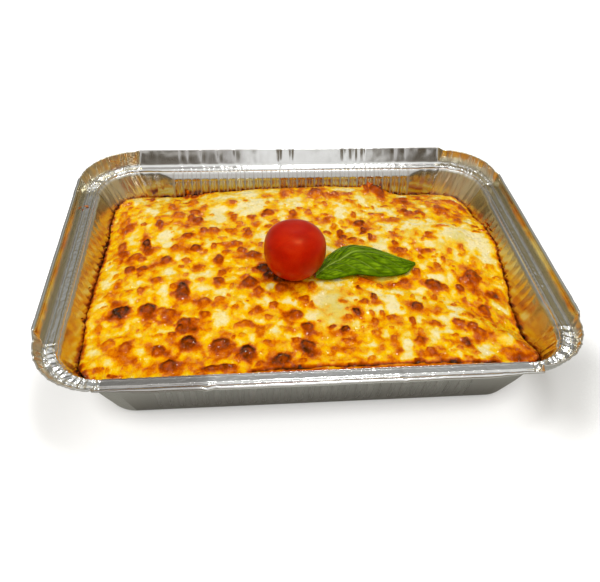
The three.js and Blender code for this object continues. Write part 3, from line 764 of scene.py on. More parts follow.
FRONT_SPOTS = [
    (-36.5, -37.5, 2, 3, .45), (-27.5, -41, 3, 3, .65), (-19.5, -38, 2.7, 3, .7), (-22.5, -47, 2.3, 2.8, .6),
    (-35, -51, 5, 2.5, .6), (-27, -55.5, 2.3, 2, .55), (-36, -58.5, 2.5, 2, .5), (-8.5, -46, 4.2, 4, .75),
    (-3, -34, 3, 3, .75), (.5, -38.5, 1.5, 3, .6), (-3.5, -55, 3.5, 3.8, .85), (-12, -55.5, 2, 1.7, .5),
    (9, -55.7, 1.8, 1.3, .85), (15, -57.5, 3, 2.3, 1), (-10, -63.5, 2.6, 2.6, .7),
    (-4.5, -67.5, 4.3, 4.5, .85), (-24, -64.5, 3, 2, .65), (-33.5, -69.5, 4.8, 4.5, .9),
    (-38, -72, 2.3, 2.5, .75),
    (-17.5, -75.5, 5, 4.3, .9), (-27, -78, 4, 2.5, .65), (-41, -66, 2, 3, .65), (-41, -78, 2.5, 2, .7),
    (-7.5, -77, 2.3, 1.5, .65), (-9.5, -81, 1.7, 2, .75), (7.5, -72, 2.2, 2.5, .55), (15, -65, 3, 2.2, .65),
    (15, -72.5, 4, 3, .5), (25, -77.5, 3, 2, .55), (14, -81, 2.5, 1.5, .6), (23, -46, 2, 3.8, 1),
    (28, -38, 3, 2.2, .7), (34, -34.5, 2.3, 3.5, .85), (36, -47.5, 1.8, 2, .65), (40, -49, 3, 1.2, .7),
    (31, -47, 2, 2.5, .6), (31, -53, 2, 3.5, .65), (22, -32, 1.7, 2, .5), (38.5, -65.5, 2, 3.5, .62),
    (31, -62, 2, 4, .5), (39.5, -72.5, 1.5, 1.3, .55), (24, -57.5, 1.3, 2.5, .5), (11, -60.5, 2.5, 1.2, .5),
]
BACK_RIGHT_SPOTS = [
    (56, 77, 6.5, 8, .85), (49, 78, 2, 8, .8), (68.5, 50, 2, 2.2, .97), (71, 46.5, 3, 3, .8),
    (77, 46, 3, 2.6, .85), (79, 43, 2, 2.2, .75), (65, 48, 2.5, 2, .7), (70, 54, 2, 3, .6),
    (76, 53, 2, 2, .6), (68, 64, 4, 6, .6), (72, 68, 3, 4, .7),
    (82, 72, 3, 4, .65), (88, 74, 3, 2, .62), (57, 56, 3, 1.6, .75),
    (49, 54, 1.5, 2.7, .62), (45, 53, 2, 1.5, .55), (46.5, 44, 1.7, 2.2, .75), (53, 45, 2, 1.6, .72),
    (50, 43, 3, 3, .55), (59, 37, 3.3, 3.5, .66), (74, 38, 2.5, 2.2, .7), (88, 35, 1.5, 1.5, .45),
    (91, 50, 4.5, 6, .66), (99, 35, 2.5, 2.4, .65), (102, 63, 7, 3, .68), (109, 55, 2, 8, .65),
    (103, 46, 1.4, 2.2, .5), (108, 31, 3, 1, .78), (83, 38, 1.5, 1.5, .42),
]
RIGHT_SPOTS = [
    (55, 21.5, 2, 2, .7), (58, 16.5, 1.7, 1.7, .6), (54, 17, 2, 3, .5), (54, 11, 2.2, 3.2, .8),
    (56, 5, 2.3, 3.2, .8), (59, 4, 2, 2.7, .7), (55, 0, 2, 2, .62), (76, 19.5, 2.6, 2.8, .74),
    (74, 14, 5, 2, .42), (63, 9, 1.5, 2, .38), (71, 4.5, 3, 1.6, .75), (76, 4.8, 2, 1, .65),
    (67, -2, 2.3, 2, .66), (80, -2.5, 1.8, 2.2, .7), (75, -8, 2, 2.6, .7), (75, -12, 3, 2.4, .55),
    (84, -5, 3, 1.6, .45), (86, 5, 1.8, 1.8, .6), (94, 7, 1.6, 3, .65), (87, 28, 4, 1.8, .7),
    (95, 29, 1.5, 1, .75), (109, 31, 2, 1, .8), (108, 25, 3, 1, .75), (113, 28, 3, 1, .75),
    (98, -4, 1.5, 2, .5), (107, -6, 3, 1.8, .5), (109, -15, 3, 2.5, .52), (93.5, -15.6, 5.5, 6, .82),
    (91, -17, 1.6, 1.8, .97), (97, -17, 2.5, 2.5, .84), (62, -14, 2.8, 3.6, .74), (53, -21.5, 2.8, 2, .84),
    (49, -23, 3.2, 2.2, .7), (69, -23.5, 5, 4.6, .93), (75, -25, 2.5, 2.5, .72), (84.5, -25, 2.6, 3.3, .87),
    (93, -26, 2, 2, .68), (102, -26, 4, 1.6, .6), (38, 25.5, 2.5, 4, .8), (58, 25, 1.5, 2, .5),
]
FRONT_RIGHT_SPOTS = [
    (55.7, -41.5, 3.8, 4.2, .95), (61.5, -34, 1.4, 2.6, .7), (67.5, -33, 1.8, 2.6, .7),
    (69.5, -37.5, 2, 2, .5), (77, -38.5, 2, 1.7, .75), (79, -36, 3, 1, .55), (84.8, -33.5, 1.8, 2, .62),
    (47.5, -43, 1.3, 1.6, .5), (47.5, -33, 1.5, 1.2, .5), (55, -34, 1.3, 3, .55), (94, -40.5, 4, 4.5, .88),
    (94, -47, 3, 2.2, .72), (95, -53, 1.3, 2.7, .75), (97, -58, 1.5, 1.5, .6), (51, -53, 1.7, 4.6, .8),
    (44, -54, 1.6, 1.6, .6), (53.5, -60, 2, 2.6, .55), (63, -54, 2.2, 1.9, .76), (65.5, -56, 2, 1.5, .6),
    (75, -53.5, 3.4, 3.1, .8), (82, -56, 3.2, 3.2, .86), (84.5, -60, 4, 4, .8), (66, -44, 2, 3, .4),
    (78, -48, 1.5, 1.1, .55), (83, -47.5, 1.6, 2.1, .6), (51.5, -66.5, 3.1, 2.9, .8),
    (70.5, -62.8, 2.6, 1.3, .65), (75.8, -66.5, 2, 3.2, .86), (65, -66.5, 3, 1.5, .45),
    (70.5, -72, 1.9, 1.9, .65), (55, -73.5, 3.2, 2.6, .7), (50, -75, 2, 2, .6), (73.5, -78, 2, 1.3, .65),
    (78.5, -75, 2, 1.6, .6), (58, -78, 3, 2, .6), (47, -79, 2.2, 1, .85), (66, -79.5, 3, 1.5, .65),
    (97, -73, 7, 3.5, .64), (104, -67, 2.6, 3, .66), (86.5, -79, 2.6, 2, .6), (88, -77, 3, 1.6, .55),
]
SPOTS = np.array(BACK_LEFT_SPOTS + LEFT_SPOTS + FRONT_LEFT_SPOTS + BACK_SPOTS + MIDDLE_SPOTS + FRONT_SPOTS
                 + BACK_RIGHT_SPOTS + RIGHT_SPOTS + FRONT_RIGHT_SPOTS)
SPOTS[:, 4] *= 1 - 0.1 * (SPOTS[:, 0] > 42) - 0.04 * (SPOTS[:, 1] < -30)

# Patches of cheese, region by region: x, y, half width, half depth and how much they change.
PALE_PATCHES = np.array([
    (-48, 48, 4, 14, .8), (-77, -28, 3, 6, .7), (-47, -48, 3, 4, .7), (-84, -64, 2, 3, .7),
    (-93, -46.5, 2, 2, .7), (-30, 52, 8, 12, .9), (-32, 72, 4, 7, .8), (27, 46, 3.5, 8, .8),
    (6, -34, 4, 5, .9),
    (-1, -47, 3.5, 4, .8), (34, -43, 3, 2.5, .9), (10, -26, 4, 2, .8), (27.5, -68.5, 2.5, 1.5, .8),
    (22, -53, 2, 3, .8), (104, 15, 6, 14, .8), (90, 22, 7, 8, .9), (108, 5, 5, 8, .9), (84, -72, 6, 4, .8),
    (53, 50, 5, 3, .9), (43, 62, 5, 6, .7), (72, -18, 5, 3, .8), (57, -15, 2, 3, .8), (45, 7, 4, 3, .8),
    (74, 10, 3, 2.5, .7), (68, 30, 12, 5, .5), (42, -37, 4, 6, .7), (75, -44, 4, 4, .6), (44, -68, 3, 6, .6),
    (60, -67, 3, 4, .6), (56, -50, 3, 3, .6), (98, -44, 2, 4, .6), (0, 58, 8, 8, .5), (-20, 22, 6, 6, .5),
    (5, 25, 8, 8, .5), (10, 10, 8, 5, .5), (-55, -22, 4, 4, .5), (-80, 25, 5, 6, .5), (-108, -5, 4, 10, .4),
])
GOLD_PATCHES = np.array([
    (-71, 35, 9, 4, .5), (100, 42, 6, 6, .8), (98, 52, 10, 12, .7), (116, 15, 3, 6, .9),
    (103, -25, 9, 9, .7), (97, -73, 12, 7, .6), (107, -45, 5, 18, .7), (92, -50, 6, 12, .4),
    (-96, 62, 8, 8, .3), (14, 70, 8, 9, .6),
    (-5, 73, 7, 8, .5), (70, 62, 8, 8, .5), (85, 68, 8, 8, .4), (-97, -40, 9, 6, .6), (0, -70, 110, 10, .35),
    (-108, 20, 8, 50, .3), (-70, -60, 30, 20, .2),
    (58, 8, 6, 10, .4), (95, -16, 9, 8, .6), (52, -22, 7, 5, .5),
])
OLIVE_PATCHES = np.array([
    (12, -42, 8, 13, 1.0), (93, 15, 5, 5, .9), (82, 8, 5, 4, .5), (43, 13, 5, 4, .5), (42, -18.5, 5, 1.6, .8),
    (-71, 35, 7, 3, .5), (75, 60, 5, 4, .4), (50, 67, 8, 4, .4), (64, 20, 6, 4, .4), (-48, 45, 4, 8, .3),
])
# Lumps of filling that lift the crust: x, y, half width, half depth and height in millimetres.
LUMPS = np.array([
    (92, 19, 9, 8, 2.2), (98.5, -62, 4, 4, 1.1), (63, -75, 3.4, 3.4, .8), (12, -42, 9, 12, .9),
    (-46, 62, 6, 8, .8), (68, 30, 12, 8, .7), (-20, 20, 10, 8, .6),
])
# Places where the crust has crept up the foil: x, y, half length along the wall and height.
CLIMBS = np.array([
    (54, 82, 7, 3.5), (49, 83, 3, 1.5), (-69.5, 82, 2, 2.5), (-117, 45, 5, 1), (118, 30, 4, 1.2),
])
CROSS_FOLDS = np.array([(98, 42, 18, 20, 1.0)])   # and where it is folded, as a patch
SMALL_SPOTS = {"count": 300, "least": 0.7, "most": 1.9, "seed": 7}
SPLIT = {"from_x": -38, "to_x": 113, "y": -80.6, "half": 1.2, "depth": 2.2}
TOMATO = {"x": -7, "y": -12.4, "radius": 17.0, "half_height": 15, "squareness": 2.2, "sink": 0.8,
          "shoulders": 2.6, "taper": 0.05, "clear": 0.15}
# The tomato's lumps, as waves round it, each with its height as a share of the radius, and its dimple.
TOMATO_LUMPS = ((3, 0.6, 0.012), (5, 2, 0.008))
DIMPLE = {"depth": 0.35, "reach": 0.2}
CRUST_COLUMNS, CRUST_ROWS = 424, 221
LIP = {"drop": 0.45, "reach": 1.0, "sink": 0.25}   # the crust turns down at its edge within this reach
SIDE_ROWS = ((3.2, 1.0), (0.9, 3.2))  # rows under the crust: height and distance from the wall
UNDERCUT = (1.6, 1.5)        # the row just under the edge: how far down and in
EDGE_FADE = 1.5             # within this of its edge the crust follows the wall's relief
CRUST_GAP = {"edge": 0.06, "inside": 0.3}   # how far it stays in from the wall


def edge_height(x, y):
    """Height of the crust's edge in the direction of a point, smooth between the stations."""
    turn = np.arctan2(y / CRUST_HALF_Y, x / CRUST_HALF_X) / FULL_TURN % 1 * len(EDGE_HEIGHTS)
    station = np.floor(turn).astype(int)
    low = EDGE_HEIGHTS[station % len(EDGE_HEIGHTS)]
    high = EDGE_HEIGHTS[(station + 1) % len(EDGE_HEIGHTS)]
    return mix(low, high, smooth(turn - station))


def crust_level(x, y):
    """The domed top without its blisters: an edge, a climb of 1 - exp(-inset / reach) to one level, and
    a slow swell."""
    inset = np.maximum(np.minimum(CRUST_HALF_X - np.abs(x), CRUST_HALF_Y - np.abs(y)), 0)
    edge = edge_height(x, y)
    climb = 1 - np.exp(-inset / (RISE_REACH + np.maximum(27 - edge, 0)))
    swell = SWELL * np.sin(x / 11 + 1.3 * np.sin(y / 17)) * np.sin(y / 9 + 0.8 * np.sin(x / 23))
    return edge + (CRUST_TOP - edge) * climb + swell * climb


def small_spots():
    """Seeded small spots, fewer where the cheese stayed pale."""
    draws = np.random.default_rng(SMALL_SPOTS["seed"])
    count = SMALL_SPOTS["count"]
    x = draws.uniform(-CRUST_HALF_X + 4, CRUST_HALF_X - 4, count)
    y = draws.uniform(-CRUST_HALF_Y + 3, CRUST_HALF_Y - 3, count)
    wide = draws.uniform(SMALL_SPOTS["least"], SMALL_SPOTS["most"], count)
    deep = wide * draws.uniform(0.7, 1.5, count)
    dark = draws.uniform(0.36, 0.62, count) * (1 - 0.8 * patches(x, y, PALE_PATCHES))
    return np.stack([x, y, wide, deep, dark], axis=1)


def patches(x, y, table):
    """Soft patches of 0 to 1: the largest of exp(-q^2) with q from each patch's ellipse."""
    total = np.zeros(np.shape(x))
    for px, py, wide, deep, strength in table:
        q = ((x - px) / wide) ** 2 + ((y - py) / deep) ** 2
        total = np.maximum(total, strength * np.exp(-q ** 1.5 / 1.6))
    return total


def spot_fields(x, y, table):
    """Browning and dome height from spots on warped ellipses: each is darkest in a ring near its edge
    and fades outside it. The ring is darker still at its back, which is painted shade on the dome's far side."""
    brown, dome = np.zeros(x.shape), np.zeros(x.shape)
    glow = np.zeros(x.shape)
    for sx, sy, wide, deep, dark in table:
        near = (np.abs(x - sx) < 3 * wide) & (np.abs(y - sy) < 3 * deep)
        dx, dy = (x[near] - sx) / wide, (y[near] - sy) / deep
        d = np.sqrt(dx * dx + dy * dy)
        back = np.clip(dy / np.maximum(d, 0.3), -1, 1)
        # The back term darkens each spot's far side: painted shade over its browning.
        ring = 0.68 + 0.26 * smooth(d / 0.75) + 0.18 * back * smooth(d)
        disc = dark * ring * (1 - smooth((d - 0.6) / (0.76 - 0.22 * back)))
        brown[near] = np.maximum(brown[near], disc)
        low = np.sqrt(dx * dx + (dy + 0.35) ** 2)
        glow[near] = np.maximum(glow[near], dark * np.exp(-(low / 1.7) ** 2))
        radius = math.sqrt(wide * deep)
        dome[near] = np.maximum(dome[near], radius * np.maximum(1 - (d / 1.15) ** 2, 0) ** 1.4)
    return brown, glow, dome


def crept(x, y):
    """How far the crust's edge has crept up the foil there."""
    total = 0.7 * layered(x / 5, y / 5, 61) + 0.25
    for cx, cy, half, rise in CLIMBS:
        total = total + rise * np.exp(-(np.hypot(x - cx, y - cy) / half) ** 2)
    return total


def parted(x, y):
    """0 to 1 inside the split that runs along the front, where the crust has parted from the foil."""
    wander = 0.7 * layered(x / 15, 0.5, 91) + 0.35 * noise(x / 3.5, 0.5, 92)
    fade = smooth((x - SPLIT["from_x"]) / 8) * smooth((SPLIT["to_x"] - x) / 8)
    strong = smooth(0.75 + 0.9 * layered(x / 11, 2.5, 93))
    half = SPLIT["half"] * (0.45 + 0.55 * strong)
    return fade * strong * np.clip(1 - np.abs(y - SPLIT["y"] - wander) / half, 0, 1) ** 0.7


class Crust:
    """The crust's grid: its places, its relief and its browning, all as arrays of the grid's shape."""

    def __init__(self, settings, flute_depth, crumple):
        self.flute_depth, self.crumple = flute_depth, crumple
        u, v = np.meshgrid(np.linspace(-1, 1, CRUST_COLUMNS), np.linspace(-1, 1, CRUST_ROWS))
        self.start_x, self.start_y = u * CRUST_HALF_X, v * CRUST_HALF_Y
        self.inset = np.minimum(CRUST_HALF_X - np.abs(self.start_x), CRUST_HALF_Y - np.abs(self.start_y))
        self.x, self.y, self.edge = self.fitted()
        self.browning_and_relief(settings)

    def corner_span(self):
        """The part of each ring's straight that becomes its corner: none, 30 mm and more from the edge."""
        return CRUST_CORNER * (1 - smooth(self.inset / 30))

    def ring_place(self, half_x, half_y, corner):
        """Moves the square rings of the grid onto rounded ones: on a straight the place along it keeps
        its share, and the square of a corner becomes the arc at the same share of the way round."""
        square_x, square_y = CRUST_HALF_X - self.inset, CRUST_HALF_Y - self.inset
        span = np.maximum(self.corner_span(), TINY)
        ax, ay = np.abs(self.start_x), np.abs(self.start_y)
        px, py = ax - (square_x - span), ay - (square_y - span)
        on_right = square_x - ax <= square_y - ay
        cornered = (px > 0) & (py > 0)
        turn = np.where(on_right, py / span, 2 - px / span) * QUARTER / 2
        along_y = ay / np.maximum(square_y - span, TINY) * (half_y - corner)
        along_x = ax / np.maximum(square_x - span, TINY) * (half_x - corner)
        x = np.where(cornered, half_x - corner + corner * np.cos(turn), np.where(on_right, half_x, along_x))
        y = np.where(cornered, half_y - corner + corner * np.sin(turn), np.where(on_right, along_y, half_y))
        return x * np.sign(self.start_x), y * np.sign(self.start_y), turn, cornered, on_right

    def fitted(self):
        """The grid's places in plan: the outer rings take the wall's outline at the height of the edge,
        flutes and creases included, and the inner ones keep their own."""
        span = self.corner_span()
        half_x, half_y = CRUST_HALF_X - self.inset, CRUST_HALF_Y - self.inset
        x, y, turn, cornered, on_right = self.ring_place(half_x, half_y, np.maximum(span, TINY))
        edge = edge_height(x, y) + crept(x, y)
        seat = edge - LIP["sink"] - LIP["drop"]
        shape = wall_shape(seat)
        near = np.clip(1 - self.inset / 26, 0, 1) ** 2
        at_end = np.where(self.start_x > 0, RIGHT, LEFT)
        side = np.where(on_right, at_end, np.where(self.start_y > 0, BACK, FRONT))
        onward = self.start_x * self.start_y > 0
        round_turn = np.where(cornered, np.where(onward, turn, QUARTER - turn), 0.0)
        corner_side = np.where(self.start_x > 0, np.where(self.start_y > 0, RIGHT, FRONT),
                               np.where(self.start_y > 0, BACK, LEFT))
        side = np.where(cornered, corner_side, side)
        along = np.select([side == FRONT, side == RIGHT, side == BACK], [x, y, -x], -y)
        fluted = ~cornered & (np.abs(along) < fluted_half(side))
        half_along = np.where(side % 2 == 0, shape["x"], shape["y"]) - shape["corner"]
        fixed = np.where(fluted, along, np.sign(along + 1e-9) * fluted_half(side))
        plain = (np.abs(along) - fluted_half(side)) / (half_along - fluted_half(side))
        slack = np.where(cornered, 1.0, np.where(fluted, 0, plain) * np.sign(along))
        columns = Columns(side, round_turn, np.where(cornered, fluted_half(side), fixed), slack)
        reach = wall_relief(columns, shape, seat, self.flute_depth, self.crumple) - CRUST_GAP["edge"]
        follow = np.exp(-self.inset / EDGE_FADE)
        reach = reach * follow - CRUST_GAP["inside"] * (1 - follow)
        wall_x, wall_y = shape["x"] + reach - self.inset, shape["y"] + reach - self.inset
        corner = np.maximum(mix(span, shape["corner"] * span / CRUST_CORNER, near), TINY)
        x, y, *_ways = self.ring_place(mix(half_x, wall_x, near), mix(half_y, wall_y, near), corner)
        self.columns = columns
        return x, y, edge

    def side_rings(self, order):
        """Rings down the hidden side: just under the edge, then at set heights, each inside the wall."""
        ring = self.columns
        pick = Columns(*[np.ravel(part)[order] for part in (ring.side, ring.turn, ring.fixed, ring.slack)])
        down, inwards = UNDERCUT
        under = np.ravel(self.z)[order] - down
        rows = [(under, inwards), *[(height + 0 * under, away) for height, away in SIDE_ROWS]]
        return [pick.place(wall_shape(height), -away, height) for height, away in rows]

    def browning_and_relief(self, settings):
        """The browning, the olive tinge and the height at each of the grid's places."""
        x, y, inset = self.x, self.y, np.maximum(self.inset, 0)
        warp_x = 1.0 * noise(x / 4.2, y / 4.2, 71) + 0.4 * noise(x / 1.8, y / 1.8, 72)
        warp_y = 1.0 * noise(x / 4.2, y / 4.2, 73) + 0.4 * noise(x / 1.8, y / 1.8, 74)
        wx, wy = x + warp_x, y + warp_y
        brown, glow, dome = spot_fields(wx, wy, SPOTS)
        little, little_glow, little_dome = spot_fields(wx, wy, small_spots())
        pale, gold = patches(wx, wy, PALE_PATCHES), patches(wx, wy, GOLD_PATCHES)

        mottle = 0.42 * layered(wx / 8, wy / 8, 81, 2) + 0.1 * layered(wx / 3, wy / 3.4, 82, 2)
        web = 0.2 * (creased(wx / 6.5, wy / 6.5, 88, 2) - 0.45)
        base = 0.17 + mottle + web + 0.26 * gold - 0.32 * pale
        halo = (0.48 + 0.2 * noise(wx / 6, wy / 6, 80)) * np.maximum(glow, 0.8 * little_glow)
        rim = np.exp(-(inset / 3.2) ** 2) * np.clip(0.5 + 0.9 * layered(x / 3.2, y / 3.2, 83), 0.25, 0.78)
        rim += np.exp(-inset / 5) * (0.2 + 0.3 * layered(x / 9, y / 9, 94))
        in_front = smooth((SPLIT["y"] + 0.8 - y) / 1.2) * smooth((x + 36) / 8)
        strip = in_front * (0.5 + 0.3 * noise(x / 4, y, 89))
        body = np.maximum(base + halo, 0.02)
        value = np.maximum(body, np.maximum(brown, little) + 0.25 * np.clip(body, 0, 0.5))
        split = parted(x, y)
        # The split is browned to nearly black: char along the parted edge and painted shade in the slit.
        value = np.maximum(np.maximum(value, strip), rim) + 0.9 * split
        self.browning = np.clip(value * settings.browning, 0, 1)
        self.olive = patches(wx, wy, OLIVE_PATCHES) * (1 - smooth((self.browning - 0.25) / 0.25))

        level = crust_level(x, y) + (crept(x, y) - LIP["sink"]) * np.exp(-inset / 2.2)
        for lx, ly, wide, deep, rise in LUMPS:
            level += rise * np.exp(-(((x - lx) / wide) ** 2 + ((y - ly) / deep) ** 2) ** 1.3)
        relief = settings.blister * 0.85 * dome + settings.blister * 0.7 * little_dome
        relief += 0.5 * layered(wx / 8, wy / 8, 84) + 0.3 * creased(wx / 4.2, wy / 4.2, 85)
        relief += 0.12 * layered(x / 1.7, y / 1.7, 86, 2)
        relief += 0.55 * patches(x, y, CROSS_FOLDS) * creased((x + 0.45 * y) / 5.2, (y - 0.3 * x) / 26, 87)
        fade = 1 - np.exp(-inset / EDGE_FADE)
        lip = LIP["drop"] * np.clip(1 - inset / LIP["reach"], 0, 1) ** 2
        self.z = self.pressed(level + relief * fade - SPLIT["depth"] * split - lip)

    def pressed(self, z):
        """The tomato's hollow: nothing is higher than its underside."""
        seat = crust_level(np.array(TOMATO["x"]), np.array(TOMATO["y"]))
        centre = seat + TOMATO["half_height"] - TOMATO["sink"]
        share = np.minimum(np.hypot(self.x - TOMATO["x"], self.y - TOMATO["y"]) / TOMATO["radius"], 1)
        power = TOMATO["squareness"]
        under = (TOMATO["half_height"] + TOMATO["clear"]) * (1 - share ** power) ** (1 / power)
        return np.where(share < 1, np.minimum(z, centre - under), z)


def boundary_order(rows, columns):
    """The grid's outer points, anticlockwise from the front left corner."""
    index = np.arange(rows * columns).reshape(rows, columns)
    return np.concatenate([index[0, :-1], index[:-1, -1], index[-1, :0:-1], index[:0:-1, 0]])


def wet_facets(tree, place):
    """The surface's direction with each little cell of it tilted its own way, as a layer of oil lies on
    curds: a few cells at a time face the light."""
    voronoi = add(tree, "ShaderNodeTexVoronoi", {"Vector": place, "Scale": per_metre(0.75)})
    centred = {0: voronoi.outputs["Color"], 1: (0.5, 0.5, 0.5)}
    tilt = add(tree, VECTOR_MATH, centred, operation="SUBTRACT")
    straight = add(tree, GEOMETRY).outputs["Normal"]
    scaled = {0: tilt, 1: (1.15, 1.15, 0.2), 2: straight}
    tilted = add(tree, VECTOR_MATH, scaled, operation="MULTIPLY_ADD")
    return add(tree, VECTOR_MATH, {0: tilted}, operation="NORMALIZE")


def cheese_material(settings):
    """Cheese baked on white sauce: a soft pale curd that light sinks into, browned from gold to nearly
    black where it blistered, under a thin layer of oil that gives small sharp glints."""
    material, tree, place = new_material("baked_cheese_crust")
    browning, olive = (add(tree, MARK, attribute_name=mark).outputs["Fac"] for mark in ("browning", "olive"))
    middle = add(tree, NOISE, {"Vector": place, "Scale": per_metre(2.4), "Detail": 3.0})
    fine = add(tree, NOISE, {"Vector": place, "Scale": per_metre(0.9), "Detail": 2.0})
    lowered = add(tree, MATH, {0: browning, 1: (0.14 + 0.24) / 2}, operation="SUBTRACT")
    mottled = add(tree, MATH, {0: middle, 1: 0.14, 2: lowered}, operation="MULTIPLY_ADD")
    share = add(tree, MATH, {0: fine, 1: 0.24, 2: mottled}, operation="MULTIPLY_ADD")
    baked = fill_ramp(add(tree, RAMP, {"Fac": share}), [
        (0.0, settings.cream[:]), (0.13, linear("#f0d878")), (0.25, settings.golden[:]),
        (0.39, linear("#eca600")), (0.51, linear("#dc7800")), (0.67, settings.brown[:]),
        (0.83, linear("#843400")), (0.98, settings.burnt[:]),
    ])
    tinge = add(tree, MATH, {0: olive, 1: 0.75}, operation="MULTIPLY")
    colour = add(tree, MIX, {SHARE: tinge, FIRST: baked, SECOND: linear("#d8c868")}, **COLOURS)
    pores = add(tree, NOISE, {"Vector": place, "Scale": per_metre(0.55), "Detail": 3.0})
    curds = add(tree, NOISE, {"Vector": place, "Scale": per_metre(1.9), "Detail": 3.0})
    heights = add(tree, MATH, {0: pores, 1: 0.35, 2: curds}, operation="MULTIPLY_ADD")
    relief = add(tree, BUMP, {"Height": heights, "Distance": 0.36 * MM})
    matt = {"Value": curds, "From Min": 0.3, "From Max": 0.7, "To Min": 0.3, "To Max": 0.5}
    pools = add(tree, NOISE, {"Vector": place, "Scale": per_metre(3.0), "Detail": 2.0})
    oily = {"Value": pools, "From Min": 0.49, "From Max": 0.54, "To Max": 0.75}
    inputs = {
        "Base Color": colour, "Roughness": add(tree, RANGE, matt), "IOR": 1.45,
        "Specular IOR Level": 0.06, "Specular Tint": linear("#ffd070"), "Normal": relief,
        "Subsurface Weight": 0.08, "Subsurface Radius": (1.0, 0.55, 0.25), "Subsurface Scale": 0.8 * MM,
        "Coat Weight": add(tree, RANGE, oily, **EASED), "Coat Roughness": 0.05, "Coat IOR": 1.5,
        "Coat Normal": wet_facets(tree, place),
    }
    add(tree, OUTPUT, {"Surface": add(tree, PRINCIPLED, inputs)})
    return material


def cheese_finish():
    """The baked cheese, made once for the crust and its crumbs."""
    return bpy.data.materials.get("baked_cheese_crust") or cheese_material(bpy.context.scene.meal_lasagne)


class OBJECT_OT_lasagne(Operator):
    """Make the lasagne with its browned, blistered crust"""
    bl_idname = "object.lasagne"
    bl_label = "Lasagne"

    def execute(self, context):
        settings, tray = context.scene.meal_lasagne, context.scene.meal_tray
        crust = Crust(settings, tray.flute_depth / MM, tray.crumple / MM)
        top = np.stack([crust.x, crust.y, crust.z], axis=-1).reshape(-1, 3)
        order = boundary_order(CRUST_ROWS, CRUST_COLUMNS)
        skirt = crust.side_rings(order)
        count, first = len(order), len(top)
        rows = [order, *[first + k * count + np.arange(count) for k in range(len(skirt))]]
        side = [np.stack([low, np.roll(low, -1), np.roll(high, -1), high], axis=1)
                for high, low in zip(rows, rows[1:])]
        quads = np.concatenate([grid_quads(CRUST_ROWS, CRUST_COLUMNS), *side])
        marks = {}
        for mark, values in (("browning", crust.browning), ("olive", crust.olive)):
            flat = values.ravel()
            marks[mark] = np.concatenate([flat, *[flat[order]] * len(skirt)])
        lasagne = make_mesh("lasagne_baked", np.concatenate([top, *skirt]), quads, cheese_finish(),
                            [rows[-1][::-1]], marks)
        dress(lasagne, "lasagne")
        return {"FINISHED"}


# Browned scraps on the foil: x, y, z, three half sizes and browning.
SCRAPS = np.array([
    (-69.4, 81.2, 25.4, 1.1, 0.7, 1.7, 0.6), (49, 82.4, 29.2, 1.3, 0.6, 1.4, 0.62),
    (54, 82.4, 28.6, 1.8, 0.7, 1.4, 0.55), (59.5, 81.8, 26, 1.2, 0.6, 2, 0.6),
    (117.2, 32, 31, 0.4, 2.4, 0.4, 0.75), (117.2, 27, 31, 0.4, 1.6, 0.4, 0.8),
    (-126.6, 47.2, 39.5, 1.4, 0.5, 0.3, 0.55), (112.2, -61, 20, 0.4, 1.5, 0.5, 0.1),
    (112.3, -66, 21.5, 0.4, 1.2, 0.5, 0.15),
])
CRUMBS = {"count": 190, "least": 0.22, "most": 0.75, "reach": 3.2, "seed": 12}
CRUMB_ROWS, CRUMB_COLUMNS = 7, 10


def crumbs_on_wall(depth, crumple):
    """Seeded crumbs on the wall just over the crust's edge, most of them close to it."""
    draws, columns = np.random.default_rng(CRUMBS["seed"]), tray_columns()
    pick = draws.integers(FLUTES[0] * len(FLUTE_STEPS), len(columns.side), CRUMBS["count"])
    chosen = Columns(*[part[pick] for part in (columns.side, columns.turn, columns.fixed, columns.slack)])
    there = chosen.place(wall_shape(25.0), 0.0, 25.0)
    over = CRUMBS["reach"] * draws.uniform(0, 1, len(pick)) ** 2
    edge = edge_height(there[:, 0], there[:, 1]) + crept(there[:, 0], there[:, 1])
    z = np.minimum(edge + over, WALL_TOP - 2)
    half = draws.uniform(CRUMBS["least"], CRUMBS["most"], len(pick)) * (1 - 0.5 * over / CRUMBS["reach"])
    face = wall_relief(chosen, wall_shape(z), z, depth, crumple)
    middle = chosen.place(wall_shape(z), face - 0.7 * half, z)
    sizes = half[:, None] * draws.uniform((0.5, 0.5, 0.7), (0.8, 0.8, 1.2), (len(pick), 3))
    return np.column_stack([middle, sizes, draws.uniform(0.4, 0.95, len(pick))])


class OBJECT_OT_crust_crumbs(Operator):
    """Make the browned scraps and crumbs that stick to the foil round the crust"""
    bl_idname = "object.crust_crumbs"
    bl_label = "Crust Crumbs"

    def execute(self, context):
        tray = context.scene.meal_tray
        table = np.vstack([SCRAPS, crumbs_on_wall(tray.flute_depth / MM, tray.crumple / MM)])
        angle = np.linspace(-QUARTER, QUARTER, CRUMB_ROWS + 2)[1:-1, None]
        turn = FULL_TURN * np.arange(CRUMB_COLUMNS) / CRUMB_COLUMNS
        x, y, z = np.cos(angle) * np.cos(turn), np.cos(angle) * np.sin(turn), np.sin(angle) + 0 * turn
        number = np.arange(len(table))[:, None, None]
        uneven = 1 + 0.4 * noise(1.6 * x + 7.3 * number, 1.6 * y + 1.6 * z, 97)
        ball = np.stack([x, y, z], axis=-1) * uneven[..., None]
        points = table[:, None, None, :3] + ball * table[:, None, None, 3:6]
        size = CRUMB_ROWS * CRUMB_COLUMNS
        quads = grid_quads(CRUMB_ROWS, CRUMB_COLUMNS, True)[None] + size * number
        ring = np.arange(CRUMB_COLUMNS)
        ends = (ring[::-1], size - CRUMB_COLUMNS + ring)
        caps = [size * k + end for k in range(len(table)) for end in ends]
        marks = {"browning": np.repeat(table[:, 6], size), "olive": np.zeros(len(table) * size)}
        crumbs = make_mesh("crust_crumbs", points.reshape(-1, 3), quads.reshape(-1, 4), cheese_finish(),
                           caps, marks)
        dress(crumbs, None)
        return {"FINISHED"}


# ---------------------------------------------------------------- tomato and leaf
TOMATO_ROWS, TOMATO_COLUMNS = 72, 120


